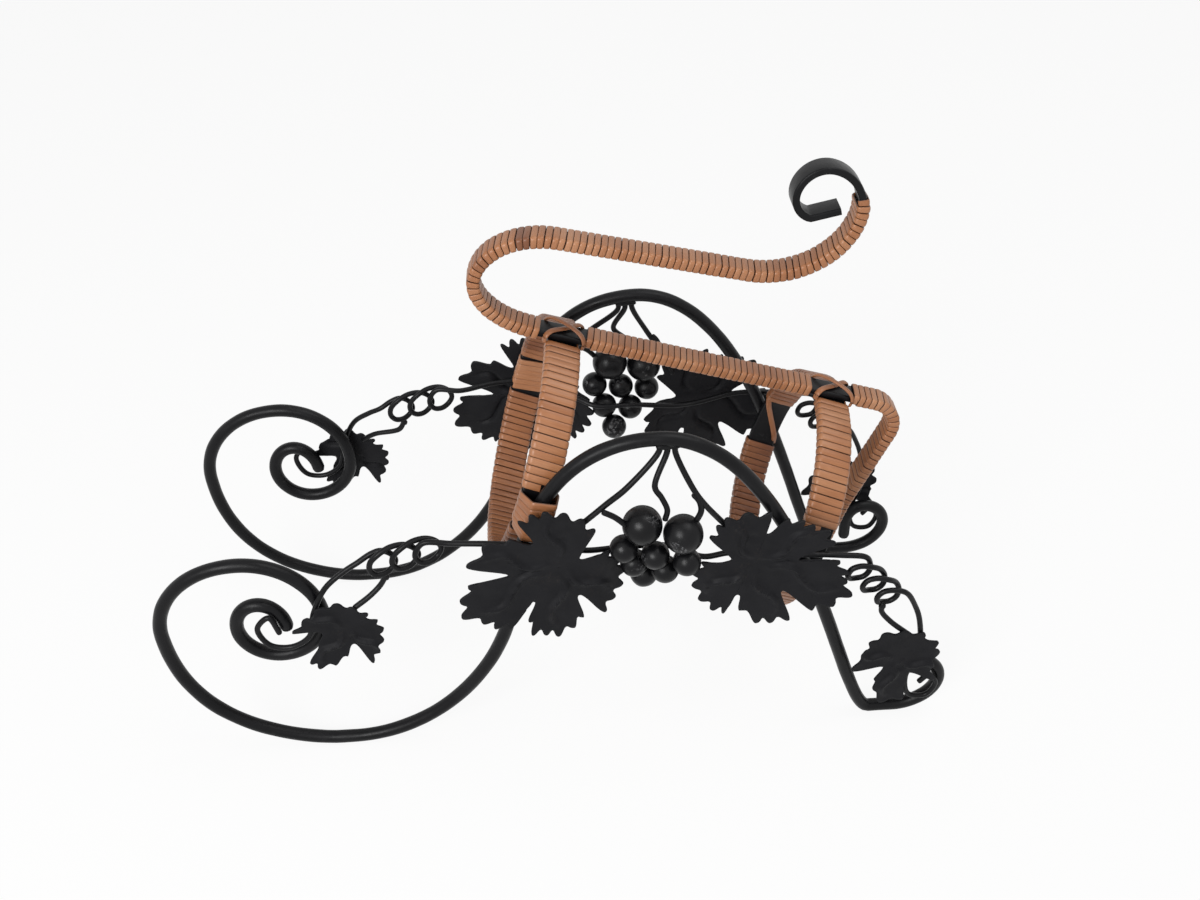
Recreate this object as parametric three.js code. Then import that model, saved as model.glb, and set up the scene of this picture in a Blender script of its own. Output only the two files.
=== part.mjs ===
// Wine bottle holder: a wrought-iron stand with a grape-vine ornament, bound with rattan cane.
// Millimetres, +Z up, the floor at z = 0. The bottle's neck points to -X and the left side is at -Y.
// The model is drawn with x = 0 under the crown of the arches and centred on its length at the end.
import * as THREE from 'three';

// Stock sizes
const ROD_DIAMETER = 6;
const WIRE_DIAMETER = 2.5;
const BAR_WIDTH = 10;
const BAR_THICKNESS = 3;
const HOOP_BAR_WIDTH = 13;
const HOOP_BAR_THICKNESS = 3;
const LEAF_SHEET = 1;
const WELD_GAP = 0.3; // clearance between pieces that touch

// Side frames: rod centre lines, heights above the floor, reaches from the crown of the arch
const FRAME_SPACING = 110;
const ARCH_HEIGHT = 167.4;
const LEAN_REACH = 61.6; // steepest place of the front leg
const LEAN_HEIGHT = 88;
const LEAN_ANGLE = 6.5; // degrees from upright
const FRONT_CROWN_EASE = 44.4; // an ease is how far a bend keeps its first direction
const FRONT_FOOT_EASE = 41;
const LEAN_UPPER_EASE = 30.2;
const LEAN_LOWER_EASE = 42.5;
const REAR_CROWN_EASE = 61.6;
const REAR_FOOT_EASE = 14.5;
const FRONT_FOOT_FLAT = 6; // straight length of rod that stands on the floor
const REAR_FOOT_FLAT = 11;

const SCROLL_REACH = 214;
const SCROLL_FOOT_REACH = 145;
const SCROLL_NOSE_HEIGHT = 74;
const SCROLL_NOSE_EASE = 63.7;
const SCROLL_FOOT_EASE = 10;
const SCROLL_HEIGHT = 113.4;
const SCROLL_CROWN_SETBACK = 39.5; // from the nose back to the highest point
const SCROLL_WIDTH = 70.5;
const SCROLL_BACK_DROP = 30.4; // from the highest point down to the rearmost point
const EYE_NOSE_INSET = 32.7; // the inner turn, measured in from the outer one
const EYE_CROWN_INSET = 23;
const EYE_BACK_INSET = 16.5;
const EYE_HEIGHT = 30.2;
const EYE_NOSE_DROP = 13.6; // from the inner turn's top down to its foremost point
const EYE_TIP_DROP = 14.4;

const REAR_REACH = 131;
const REAR_FOOT_REACH = 105.5;
const REAR_NOSE_HEIGHT = 20.3;
const REAR_CURL_HEIGHT = 32.2;
const REAR_CURL_SETBACK = 11.5;
const REAR_CURL_WIDTH = 20.2;
const REAR_TIP_HEIGHT = 11.5;

// Hoops: rings that the bottle lies in, centred on the two legs of each arch
const FRONT_HOOP_HEIGHT = 130.5;
const REAR_HOOP_HEIGHT = 94.1;
const HOOP_TALL = 106; // across the ring, middle of the bar to middle of the bar

// Handle bar, measured along the bottle (first) and square to it (second) from the front hoop's top
const GRIP_FRONT = -14;
const GRIP_FRONT_RISE = 41.8;
const GRIP_REAR = 64;
const GRIP_REAR_RISE = 47;
const FRONT_BEND_REACH = 42.3;
const FRONT_BEND_RISE = 18.5;
const FRONT_BEND_FLAT = 1.5; // straight bar between the front bend and the crossing
const HOOK_REACH = 99;
const HOOK_REACH_RISE = 80;
const HOOK_TOP = 82;
const HOOK_TOP_RISE = 98;
const HOOK_WIDTH = 28.6; // outermost to innermost line of the hook
const HOOK_INNER_RISE = 86;
const HOOK_FLOOR_RISE = 76.8;
const HOOK_FLOOR_SETBACK = 9;
const HOOK_TIP_SETBACK = 9;
const HOOK_TIP_LIFT = 6;
const BACK_STOP_OFFSET = 28.5; // behind the rear hoop's middle
const BACK_STOP_OVERHANG = 6;
const BACK_STOP_CORNER = 14;

// Rattan binding
const CANE_WIDTH = 5.5;
const CANE_THICKNESS = 1.1;
const CANE_CLEARANCE = 0.8;
const CANE_PITCH = 7.5;
const MOST_TURNS = 24;
const LEAST_CANE_GAP = 0.4;
const LASHING_DIAMETER = 1.8;
const HOOK_BARE_LENGTH = 62;
const COLLAR_CLEARANCE = 0.4;
const COLLAR_ROD_ROOM = 1.5; // the rod and the hoop's bar are not quite parallel
const COLLAR_FROM = 78; // degrees round the hoop from its top
const COLLAR_TO = 98;
const FRONT_UPPER_END = 75;
const FRONT_LOWER_START = 109;
const REAR_UPPER_END = 74;
const REAR_LOWER_START = 107;

// Vine ornament: places from the crown of the arch and, where not said, above the floor
const GRAPE_RADIUS = 6;
const BIG_GRAPE_RADIUS = 8.3;
const GRAPE_SPACING = 13.2; // within a row
const ROW_GAP = 0.2; // between a grape and those above it
const CLUSTER_X = 1.8; // middle of the two big grapes
const CLUSTER_RISE = 16.5; // big grapes above the vine behind them
const VINE_DROP = 3; // the vine behind the grapes, below the middle between the hoops' centres
const VINE_TUCK = 3.5; // how far it keeps in from the rods there
const CLUSTER_OUT = 6.5; // big grapes' middle, out from the frame's middle plane
const CLUSTER_TURN = 13; // degrees, the rear grapes hang lower
const CLUSTER_YAW = 8; // and further out
const ROW_TILTS = [0, -2, 22, 30]; // degrees, how far each row hangs in towards the stand
const CURL_LENGTH = 7.7; // half the size of a curl in the vine, along the vine
const CURL_DEPTH = 6; // and across it
const CURL_LEAN = 2.05; // how far a curl passes in front of itself, to each side
const CURL_SNAP = 2.2; // how quickly it crosses over
const FRONT_CURLS_X = -95.3; // middles of the first and the third curl of each group
const FRONT_CURLS_HEIGHT = 116.3;
const FRONT_CURLS_RUN = -19.6;
const FRONT_CURLS_FALL = -5.3;
const REAR_CURLS_X = 86.6;
const REAR_CURLS_HEIGHT = 94.7;
const REAR_CURLS_RUN = 14;
const REAR_CURLS_FALL = -15.2;
const STEM_SPACING = 3.2;
const STEM_X = 4;
const FRONT_LEAF_X = -41;
const FRONT_LEAF_DROP = 19; // below the middle of the front hoop
const FRONT_LEAF_OUT = 1.7; // from the plane of the small leaves
const FRONT_LEAF_YAW = 5.4; // degrees, front end outwards
const FRONT_LEAF_SPIN = 2; // degrees, front end upwards
const REAR_LEAF_X = 40.5;
const REAR_LEAF_RISE = 11; // above the middle of the rear hoop
const REAR_LEAF_OUT = -1;
const REAR_LEAF_YAW = -4;
const REAR_LEAF_SPIN = -1.5;
const FRONT_SMALL_LEAF_X = -133;
const FRONT_SMALL_LEAF_HEIGHT = 80;
const REAR_SMALL_LEAF_X = 107;
const REAR_SMALL_LEAF_HEIGHT = 41;
// The right side's ornament was welded on further forward
const RIGHT_GRAPE_SHIFT = -6;
const RIGHT_STEM_SHIFT = -9;
const RIGHT_FRONT_LEAF_SHIFT = -8;
const RIGHT_REAR_LEAF_SHIFT = -11;

const rodRadius = ROD_DIAMETER / 2;
const wireRadius = WIRE_DIAMETER / 2;
const frameY = FRAME_SPACING / 2;
const vineY = frameY + rodRadius + WELD_GAP + wireRadius;
const leafY = vineY + wireRadius + WELD_GAP;

const blackIron = { color: 0x1c1c1e, roughness: 0.55, metalness: 0.4 };
const leafIron = { color: 0x202022, roughness: 0.75, metalness: 0.3 };
const rattan = { color: 0xa8704a, roughness: 0.5, metalness: 0 };

const upright = new THREE.Vector3(0, 1, 0);
const flat = (x, z) => new THREE.Vector2(x, z);
const inPlane = (p) => new THREE.Vector3(p.x, 0, p.y);

// A flat path of straight and rounded stretches, each cut into its own number of steps
class BentPath {
  constructor(start) {
    this.end = start;
    this.curves = [];
    this.steps = [];
  }

  add(curve, end, steps) {
    this.curves.push(curve);
    this.steps.push(steps);
    this.end = end;
    return this;
  }

  line(to, steps = 1) {
    return this.add(new THREE.LineCurve(this.end, to), to, steps);
  }

  // Rounds the corner where the two straight directions meet, as a quarter of an ellipse
  round(corner, to, steps = 5) {
    const fullness = 0.5523;
    const leave = this.end.clone().lerp(corner, fullness);
    const arrive = to.clone().lerp(corner, fullness);
    return this.add(new THREE.CubicBezierCurve(this.end, leave, arrive, to), to, steps);
  }

  // Leaves and arrives in given directions, in degrees from +X towards +Z
  bend(leaveAngle, leaveEase, arriveAngle, arriveEase, to, steps = 10) {
    const way = (angle, ease) => flat(ease, 0).rotateAround(flat(0, 0), THREE.MathUtils.degToRad(angle));
    const leave = this.end.clone().add(way(leaveAngle, leaveEase));
    const arrive = to.clone().sub(way(arriveAngle, arriveEase));
    return this.add(new THREE.CubicBezierCurve(this.end, leave, arrive, to), to, steps);
  }

  stations() {
    const list = [];
    this.curves.forEach((curve, c) => {
      for (let i = c === 0 ? 0 : 1; i <= this.steps[c]; i += 1) {
        const t = i / this.steps[c];
        list.push({ point: inPlane(curve.getPoint(t)), tangent: inPlane(curve.getTangent(t)) });
      }
    });
    return list.map((station) => ({ ...station, across: upright }));
  }

  length() {
    return this.curves.reduce((sum, curve) => sum + curve.getLength(), 0);
  }

  // The place at a distance along the path
  at(distance) {
    let rest = distance;
    let index = 0;
    while (index < this.curves.length - 1 && rest > this.curves[index].getLength()) {
      rest -= this.curves[index].getLength();
      index += 1;
    }
    const curve = this.curves[index];
    const u = THREE.MathUtils.clamp(rest / curve.getLength(), 0, 1);
    const point = inPlane(curve.getPointAt(u));
    return { point, tangent: inPlane(curve.getTangentAt(u)), across: upright };
  }
}

// A point beside a station: x across the path, y out from it in the path's own plane
function beside(station, x, y) {
  const out = station.tangent.clone().cross(station.across);
  return station.point.clone().addScaledVector(station.across, x).addScaledVector(out, y);
}

// Joins rings of points, each ring turning the same way about the line of travel, into a closed body
function skin(rings, closed = false) {
  const count = rings[0].length;
  const positions = rings.flat().flatMap((p) => [p.x, p.y, p.z]);
  const index = [];
  const spans = closed ? rings.length : rings.length - 1;
  for (let i = 0; i < spans; i += 1) {
    const here = i * count;
    const next = ((i + 1) % rings.length) * count;
    for (let j = 0; j < count; j += 1) {
      const k = (j + 1) % count;
      index.push(here + j, here + k, next + k, here + j, next + k, next + j);
    }
  }
  if (!closed) {
    const last = (rings.length - 1) * count;
    for (let j = 1; j < count - 1; j += 1) {
      index.push(0, j + 1, j, last, last + j, last + j + 1);
    }
  }
  const geometry = new THREE.BufferGeometry();
  geometry.setAttribute('position', new THREE.Float32BufferAttribute(positions, 3));
  geometry.setIndex(index);
  geometry.computeVertexNormals();
  return geometry;
}

function sweep(stations, profile, closed = false) {
  return skin(stations.map((station) => profile.map(([x, y]) => beside(station, x, y))), closed);
}

// Eight-sided round with flats up, down and to the sides
function roundProfile(diameter) {
  const sides = 8;
  const radius = diameter / 2 / Math.cos(Math.PI / sides);
  return Array.from({ length: sides }, (_, i) => {
    const angle = ((i + 0.5) * 2 * Math.PI) / sides;
    return [radius * Math.cos(angle), radius * Math.sin(angle)];
  });
}

function barProfile(width, thickness) {
  const [w, t] = [width / 2, thickness / 2];
  return [[-w, -t], [w, -t], [w, t], [-w, t]];
}

function wire(points, steps, diameter = WIRE_DIAMETER, sides = 5) {
  const circle = new THREE.EllipseCurve(0, 0, diameter / 2, diameter / 2).getPoints(sides).slice(1);
  const extrudePath = new THREE.CatmullRomCurve3(points);
  return new THREE.ExtrudeGeometry(new THREE.Shape(circle), { extrudePath, steps, bevelEnabled: false });
}

function mesh(name, geometry, finish) {
  const piece = new THREE.Mesh(geometry, new THREE.MeshStandardMaterial(finish));
  piece.name = name;
  return piece;
}

// Side frame: inner turn of the scroll, outer turn, front foot, arch, rear foot, rear curl
const crown = flat(0, ARCH_HEIGHT);
const frontFoot = flat(-SCROLL_FOOT_REACH + FRONT_FOOT_FLAT / 2, rodRadius);
const rearFoot = flat(REAR_FOOT_REACH - REAR_FOOT_FLAT / 2, rodRadius);
const lean = flat(-LEAN_REACH, LEAN_HEIGHT);
const nose = flat(-SCROLL_REACH, SCROLL_NOSE_HEIGHT);
const scrollCrown = flat(nose.x + SCROLL_CROWN_SETBACK, SCROLL_HEIGHT);
const scrollBack = flat(nose.x + SCROLL_WIDTH, SCROLL_HEIGHT - SCROLL_BACK_DROP);
const eyeTop = SCROLL_HEIGHT - EYE_CROWN_INSET;
const eyeNose = flat(nose.x + EYE_NOSE_INSET, eyeTop - EYE_NOSE_DROP);
const eyeTip = flat(scrollBack.x - EYE_BACK_INSET, eyeTop - EYE_TIP_DROP);
const eyeCrown = flat((eyeNose.x + eyeTip.x) / 2, eyeTop);
const eyeFloor = flat(eyeNose.x + EYE_NOSE_INSET / 2, eyeTop - EYE_HEIGHT);
const rearNose = flat(REAR_REACH, REAR_NOSE_HEIGHT);
const rearCrown = flat(REAR_REACH - REAR_CURL_SETBACK, REAR_CURL_HEIGHT);
const rearInner = flat(REAR_REACH - REAR_CURL_WIDTH, (REAR_CURL_HEIGHT + REAR_TIP_HEIGHT) / 2);

const corner = (upDown, level) => flat(upDown.x, level.y);

function sideFramePath() {
  return new BentPath(eyeTip)
    .round(corner(eyeTip, eyeCrown), eyeCrown, 4)
    .round(corner(eyeNose, eyeCrown), eyeNose, 4)
    .round(corner(eyeNose, eyeFloor), eyeFloor, 4)
    .round(corner(scrollBack, eyeFloor), scrollBack)
    .round(corner(scrollBack, scrollCrown), scrollCrown)
    .round(corner(nose, scrollCrown), nose)
    .bend(-90, SCROLL_NOSE_EASE, 0, SCROLL_FOOT_EASE, flat(frontFoot.x - FRONT_FOOT_FLAT, rodRadius), 8)
    .line(frontFoot)
    .bend(0, FRONT_FOOT_EASE, 90 - LEAN_ANGLE, LEAN_LOWER_EASE, lean)
    .bend(90 - LEAN_ANGLE, LEAN_UPPER_EASE, 0, FRONT_CROWN_EASE, crown, 12)
    .bend(0, REAR_CROWN_EASE, 0, REAR_FOOT_EASE, rearFoot, 20)
    .line(flat(rearFoot.x + REAR_FOOT_FLAT, rodRadius))
    .round(flat(rearNose.x, rodRadius), rearNose)
    .round(corner(rearNose, rearCrown), rearCrown, 4)
    .round(corner(rearInner, rearCrown), rearInner, 4)
    .line(flat(rearInner.x, REAR_TIP_HEIGHT));
}

const framePath = sideFramePath();
const frontLeg = framePath.curves[9]; // its upper half
const rearLeg = framePath.curves[10];

// Where a leg of the arch has a given reach (x) or height (y)
function legAt(leg, axis, value) {
  let [low, high] = [0, 1];
  const rises = leg.getPoint(1)[axis] > leg.getPoint(0)[axis];
  for (let i = 0; i < 40; i += 1) {
    const middle = (low + high) / 2;
    if (leg.getPoint(middle)[axis] < value === rises) low = middle;
    else high = middle;
  }
  return leg.getPoint(low);
}

const frontHoopCentre = legAt(frontLeg, 'y', FRONT_HOOP_HEIGHT);
const rearHoopCentre = legAt(rearLeg, 'y', REAR_HOOP_HEIGHT);

// The bottle's line: along runs from the front hoop to the rear one, rise is square to it
const along2 = rearHoopCentre.clone().sub(frontHoopCentre);
const hoopSpacing = along2.length();
along2.normalize();
const along = inPlane(along2);
const rise = along.clone().cross(upright);
const hoopHalfTall = HOOP_TALL / 2;
const hoopHalfWide = frameY - rodRadius - WELD_GAP - HOOP_BAR_THICKNESS / 2;
const barRise = hoopHalfTall + (HOOP_BAR_THICKNESS + BAR_THICKNESS) / 2 + WELD_GAP;

// Hoop: an upright oval ring, square to the bottle. Its angle runs from the top towards the left.
function hoopStation(centre, angle) {
  const point = inPlane(centre)
    .addScaledVector(upright, -hoopHalfWide * Math.sin(angle))
    .addScaledVector(rise, hoopHalfTall * Math.cos(angle));
  const tangent = upright.clone()
    .multiplyScalar(-hoopHalfWide * Math.cos(angle))
    .addScaledVector(rise, -hoopHalfTall * Math.sin(angle))
    .normalize();
  return { point, tangent, across: along.clone().negate() };
}

function hoop(name, centre) {
  const steps = 40;
  const stations = Array.from({ length: steps }, (_, i) => hoopStation(centre, (i * 2 * Math.PI) / steps));
  return mesh(name, sweep(stations, barProfile(HOOP_BAR_WIDTH, HOOP_BAR_THICKNESS), true), blackIron);
}

// Handle bar in the middle plane: hook, grip and front bend, then the top bar, then the back stop
const barOrigin = frontHoopCentre.clone().add(flat(rise.x, rise.z).multiplyScalar(barRise));
const onBar = (n, u) => flat(
  barOrigin.x + along.x * n + rise.x * u,
  barOrigin.y + along.z * n + rise.z * u,
);
const lashingLeg = HOOP_BAR_WIDTH / 2 + CANE_CLEARANCE + CANE_THICKNESS + WELD_GAP + LASHING_DIAMETER / 2;
const bareHalf = lashingLeg + LASHING_DIAMETER / 2 + WELD_GAP;

function gripPath() {
  const hookInner = HOOK_REACH - HOOK_WIDTH;
  const floorEnd = hookInner + HOOK_FLOOR_SETBACK;
  const tip = onBar(HOOK_REACH - HOOK_TIP_SETBACK, HOOK_FLOOR_RISE + HOOK_TIP_LIFT);
  const gripSlope = (GRIP_REAR_RISE - GRIP_FRONT_RISE) / (GRIP_REAR - GRIP_FRONT);
  const hookCornerRise = GRIP_REAR_RISE + gripSlope * (HOOK_REACH - GRIP_REAR);
  const bendCornerRise = GRIP_FRONT_RISE - gripSlope * (FRONT_BEND_REACH + GRIP_FRONT);
  return new BentPath(tip)
    .line(onBar(floorEnd, HOOK_FLOOR_RISE), 2)
    .round(onBar(hookInner, HOOK_FLOOR_RISE), onBar(hookInner, HOOK_INNER_RISE), 4)
    .round(onBar(hookInner, HOOK_TOP_RISE), onBar(HOOK_TOP, HOOK_TOP_RISE))
    .round(onBar(HOOK_REACH, HOOK_TOP_RISE), onBar(HOOK_REACH, HOOK_REACH_RISE))
    .round(onBar(HOOK_REACH, hookCornerRise), onBar(GRIP_REAR, GRIP_REAR_RISE), 6)
    .line(onBar(GRIP_FRONT, GRIP_FRONT_RISE), 3)
    .round(onBar(-FRONT_BEND_REACH, bendCornerRise), onBar(-FRONT_BEND_REACH, FRONT_BEND_RISE), 6)
    .round(onBar(-FRONT_BEND_REACH, 0), onBar(-bareHalf - FRONT_BEND_FLAT, 0), 6);
}

function backStopPath() {
  const stop = hoopSpacing + BACK_STOP_OFFSET;
  const over = stop + BACK_STOP_OVERHANG;
  const under = -2 * barRise;
  return new BentPath(onBar(hoopSpacing + bareHalf, 0))
    .line(onBar(over - BACK_STOP_CORNER, 0))
    .round(onBar(over, 0), onBar(over - BACK_STOP_OVERHANG / 4, -BACK_STOP_CORNER))
    .line(onBar(stop, -barRise), 3)
    .line(onBar(stop, under + BACK_STOP_CORNER), 2)
    .round(onBar(stop, under), onBar(stop - BACK_STOP_CORNER, under))
    .line(onBar(hoopSpacing - HOOP_BAR_WIDTH / 2, under));
}

const grip = gripPath();
const topBar = new BentPath(grip.end).line(onBar(hoopSpacing + bareHalf, 0), 4);
const backStop = backStopPath();

function handleBar() {
  const stations = [...grip.stations(), ...topBar.stations().slice(1), ...backStop.stations().slice(1)];
  return mesh('handle_bar', sweep(stations, barProfile(BAR_WIDTH, BAR_THICKNESS)), blackIron);
}

// Outline of a flat bar, held off by a clearance, with its corners cut; it starts below the bar
function barLoop(width, thickness) {
  const [w, t] = [width / 2, thickness / 2];
  return (off) => [
    [0, -t - off], [w, -t - off], [w + off, -t], [w + off, t], [w, t + off],
    [-w, t + off], [-w - off, t], [-w - off, -t], [-w, -t - off],
  ];
}

// One cane strip wound round a bar from start to end: flat below, crowned above
function winding(name, at, start, end, loop, clearance = CANE_CLEARANCE) {
  const inset = CANE_WIDTH / 2;
  const room = end - start - CANE_WIDTH;
  const turns = Math.max(2, Math.min(MOST_TURNS, Math.floor(room / CANE_PITCH)));
  const base = loop(clearance);
  const crest = loop(clearance + CANE_THICKNESS);
  const span = (i) => Math.hypot(
    base[(i + 1) % base.length][0] - base[i][0],
    base[(i + 1) % base.length][1] - base[i][1],
  );
  const girth = base.reduce((sum, _, i) => sum + span(i), 0);
  const rings = [];
  let travelled = 0;
  const place = (i) => {
    const s = start + inset + (room * travelled) / (girth * turns);
    rings.push([
      beside(at(s - inset), ...base[i]),
      beside(at(s + inset), ...base[i]),
      beside(at(s), ...crest[i]),
    ]);
  };
  for (let turn = 0; turn < turns; turn += 1) {
    for (let i = 0; i < base.length; i += 1) {
      if (i > 0 || turn === 0) place(i);
      travelled += span(i);
    }
  }
  place(0);
  reportGap(name, rings, Math.floor(base.length / 2));
  return mesh(name, skin(rings), rattan);
}

// Prints the least distance between stretches of one winding that are not neighbours
function reportGap(name, rings, apart) {
  let least = Infinity;
  for (let i = 0; i < rings.length; i += 1) {
    for (let j = i + apart; j < rings.length; j += 1) {
      for (const p of rings[i]) {
        for (const q of rings[j]) least = Math.min(least, p.distanceTo(q));
      }
    }
  }
  const verdict = least > LEAST_CANE_GAP ? 'clear' : 'too close';
  console.log(`${name}: least gap to itself ${least.toFixed(2)} mm, ${verdict}`);
}

const hoopArc = (degrees) => THREE.MathUtils.degToRad(degrees) * hoopHalfTall;
const hoopAt = (centre) => (s) => hoopStation(centre, s / hoopHalfTall);

// Hoop windings in degrees from the top towards the left; on the right they run the other way
const hoopLoop = barLoop(HOOP_BAR_WIDTH, HOOP_BAR_THICKNESS);
const topReach = BAR_WIDTH / 2 + CANE_CLEARANCE + LASHING_DIAMETER;
const topClear = THREE.MathUtils.radToDeg(Math.asin(topReach / hoopHalfWide));

function hoopWinding(name, centre, from, to) {
  return winding(name, hoopAt(centre), hoopArc(from), hoopArc(to), hoopLoop);
}

// Collar: cane round the front hoop and the arch rod that lies along it, outer side towards the rod
function collar(name, sign) {
  const [w, t] = [HOOP_BAR_WIDTH / 2, HOOP_BAR_THICKNESS / 2];
  const outer = (frameY + rodRadius) / Math.sin(THREE.MathUtils.degToRad(COLLAR_FROM)) - hoopHalfWide;
  const r = rodRadius + COLLAR_ROD_ROOM;
  const loop = (off) => [
    [0, t + off], [-w - off, t + off], [-w - off, -t - off], [-r - off, -outer - off],
    [r + off, -outer - off], [w + off, -t - off], [w + off, t + off],
  ];
  const from = sign > 0 ? COLLAR_FROM : 360 - COLLAR_TO;
  const to = sign > 0 ? COLLAR_TO : 360 - COLLAR_FROM;
  return winding(name, hoopAt(frontHoopCentre), hoopArc(from), hoopArc(to), loop, COLLAR_CLEARANCE);
}

function bindings() {
  const bar = barLoop(BAR_WIDTH, BAR_THICKNESS);
  const topStart = 2 * bareHalf + FRONT_BEND_FLAT;
  const topEnd = topBar.length() - 2 * bareHalf;
  const stopEnd = backStop.length() - HOOP_BAR_WIDTH - LASHING_DIAMETER;
  const pieces = [
    winding('grip_winding', (s) => grip.at(s), HOOK_BARE_LENGTH, grip.length(), bar),
    winding('top_winding', (s) => topBar.at(s), topStart, topEnd, bar),
    winding('back_stop_winding', (s) => backStop.at(s), 0, stopEnd, bar),
    hoopWinding('front_hoop_left_winding', frontHoopCentre, topClear, FRONT_UPPER_END),
    hoopWinding('front_hoop_right_winding', frontHoopCentre, 360 - FRONT_UPPER_END, 360 - topClear),
    hoopWinding('front_hoop_lower_winding', frontHoopCentre, FRONT_LOWER_START, 360 - FRONT_LOWER_START),
    collar('front_left_collar', 1),
    collar('front_right_collar', -1),
    hoopWinding('rear_hoop_left_winding', rearHoopCentre, topClear, REAR_UPPER_END),
    hoopWinding('rear_hoop_right_winding', rearHoopCentre, 360 - REAR_UPPER_END, 360 - topClear),
    hoopWinding('rear_hoop_lower_left_winding', rearHoopCentre, REAR_LOWER_START, 180 - topClear),
    hoopWinding('rear_hoop_lower_right_winding', rearHoopCentre, 180 + topClear, 360 - REAR_LOWER_START),
  ];
  for (const [end, n] of [['front', 0], ['rear', hoopSpacing]]) {
    pieces.push(lashing(`${end}_lashing_under`, n, 1, 0));
    pieces.push(lashing(`${end}_lashing_over`, n, -1, LASHING_DIAMETER + WELD_GAP));
  }
  return pieces;
}

// Lashing strand: over the bar from one corner of the crossing to the other, and down beside it
function lashing(name, n, sign, lift) {
  const half = LASHING_DIAMETER / 2;
  const top = BAR_THICKNESS / 2 + WELD_GAP + half;
  const side = BAR_WIDTH / 2 + WELD_GAP + half;
  const foot = BAR_THICKNESS / 2;
  const inward = 0.82; // share of the way out at which the strand has reached the bar's upper face
  const point = (p, q, u) => inPlane(onBar(n + p, u)).addScaledVector(upright, q);
  const route = [
    [-1, -foot], [-1, foot / 2], [-inward, top + lift / 3], [0, top + lift],
    [inward, top + lift / 3], [1, foot / 2], [1, -foot],
  ];
  const points = route.map(([f, u]) => point(f * lashingLeg, sign * f * side, u));
  return mesh(name, wire(points, 14, LASHING_DIAMETER), rattan);
}

// Vine leaf, flat sheet: lobes round the vein centre, each with the tips of its teeth and the slit
// that follows it, as degrees from +X towards +Z and reach
const FRONT_LARGE_LOBES = [
  { tips: [[51, 23], [69, 26], [86, 28.5], [101, 30.5], [111, 31], [122, 30.5]], slit: [129, 17.5] },
  { tips: [[140, 26], [153, 34], [172, 38]], slit: [186, 21.5] },
  { tips: [[189, 38], [198, 43.5], [209, 47], [220, 42.5], [228, 41.5], [236, 38]], slit: [239, 21.5] },
  { tips: [[245, 31.5], [251, 38], [260, 37.5], [268, 39], [279, 36], [288, 31]], slit: [295, 19] },
  { tips: [[299, 32.5], [321, 29], [337, 23], [352, 20.5], [368, 18.5]], slit: [383, 9] },
];
const REAR_LARGE_LOBES = [
  { tips: [[37, 23], [53, 25.5], [63, 27], [82, 27], [104, 27]], slit: [108, 16] },
  { tips: [[120, 26], [132, 29], [140, 30.5], [151, 34], [164, 34]], slit: [177, 18.5] },
  { tips: [[181, 35], [190, 39.5], [197, 40.5], [205, 45.5], [216, 42], [228, 37]], slit: [235, 21] },
  { tips: [[245, 36.5], [258, 35.5], [267, 34.5], [283, 27]], slit: [290, 19.5] },
  { tips: [[295, 30.5], [304, 31.5], [315, 32], [328, 30], [342, 27], [357, 21.5]], slit: [370, 10] },
];
const FRONT_SMALL_LOBES = [
  { tips: [[36, 12], [70, 12], [99, 14.5], [130, 16], [163, 18.5], [180, 22.5]], slit: [189, 11] },
  { tips: [[211, 15], [225, 25], [234, 25], [248, 20.5], [263, 15]], slit: [281, 9] },
  { tips: [[292, 21.5], [310, 18], [331, 16], [356, 15], [377, 13.5]], slit: [392, 10.5] },
];
const REAR_SMALL_LOBES = [
  { tips: [[51, 18.5], [80, 17], [111, 18], [136, 17], [159, 16], [196, 19.5]], slit: [221, 7] },
  { tips: [[236, 14.5], [246, 20], [260, 27], [283, 27], [292, 17]], slit: [306, 12] },
  { tips: [[323, 24], [341, 18], [367, 19.5], [388, 20]], slit: [402, 17] },
];
const TOOTH_CUT = 2; // how deep the edge is cut between two tips

function leafGeometry(lobes) {
  const outline = [];
  const add = (degrees, reach) => {
    const angle = THREE.MathUtils.degToRad(degrees);
    outline.push(flat(reach * Math.cos(angle), reach * Math.sin(angle)));
  };
  for (const { tips, slit } of lobes) {
    tips.forEach(([degrees, reach], i) => {
      if (i > 0) {
        const [before, reachBefore] = tips[i - 1];
        add((degrees + before) / 2, (reach + reachBefore) / 2 - TOOTH_CUT);
      }
      add(degrees, reach);
    });
    add(...slit);
  }
  const geometry = new THREE.ExtrudeGeometry(new THREE.Shape(outline), {
    depth: LEAF_SHEET,
    bevelEnabled: false,
  });
  return geometry.rotateX(Math.PI / 2);
}

// The lobes reach forward as drawn; a turned leaf reaches to the rear
function leaf(name, lobes, x, z, turned, out = 0, yaw = 0, spin = 0) {
  const piece = mesh(name, leafGeometry(lobes), leafIron);
  piece.position.set(x, -leafY - out, z);
  piece.rotation.set(0, THREE.MathUtils.degToRad(spin), THREE.MathUtils.degToRad(yaw), 'ZYX');
  if (turned) piece.scale.x = -1;
  return piece;
}

const vineMiddle = (frontHoopCentre.y + rearHoopCentre.y) / 2 - VINE_DROP;
const clusterHeight = vineMiddle + CLUSTER_RISE;

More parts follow.
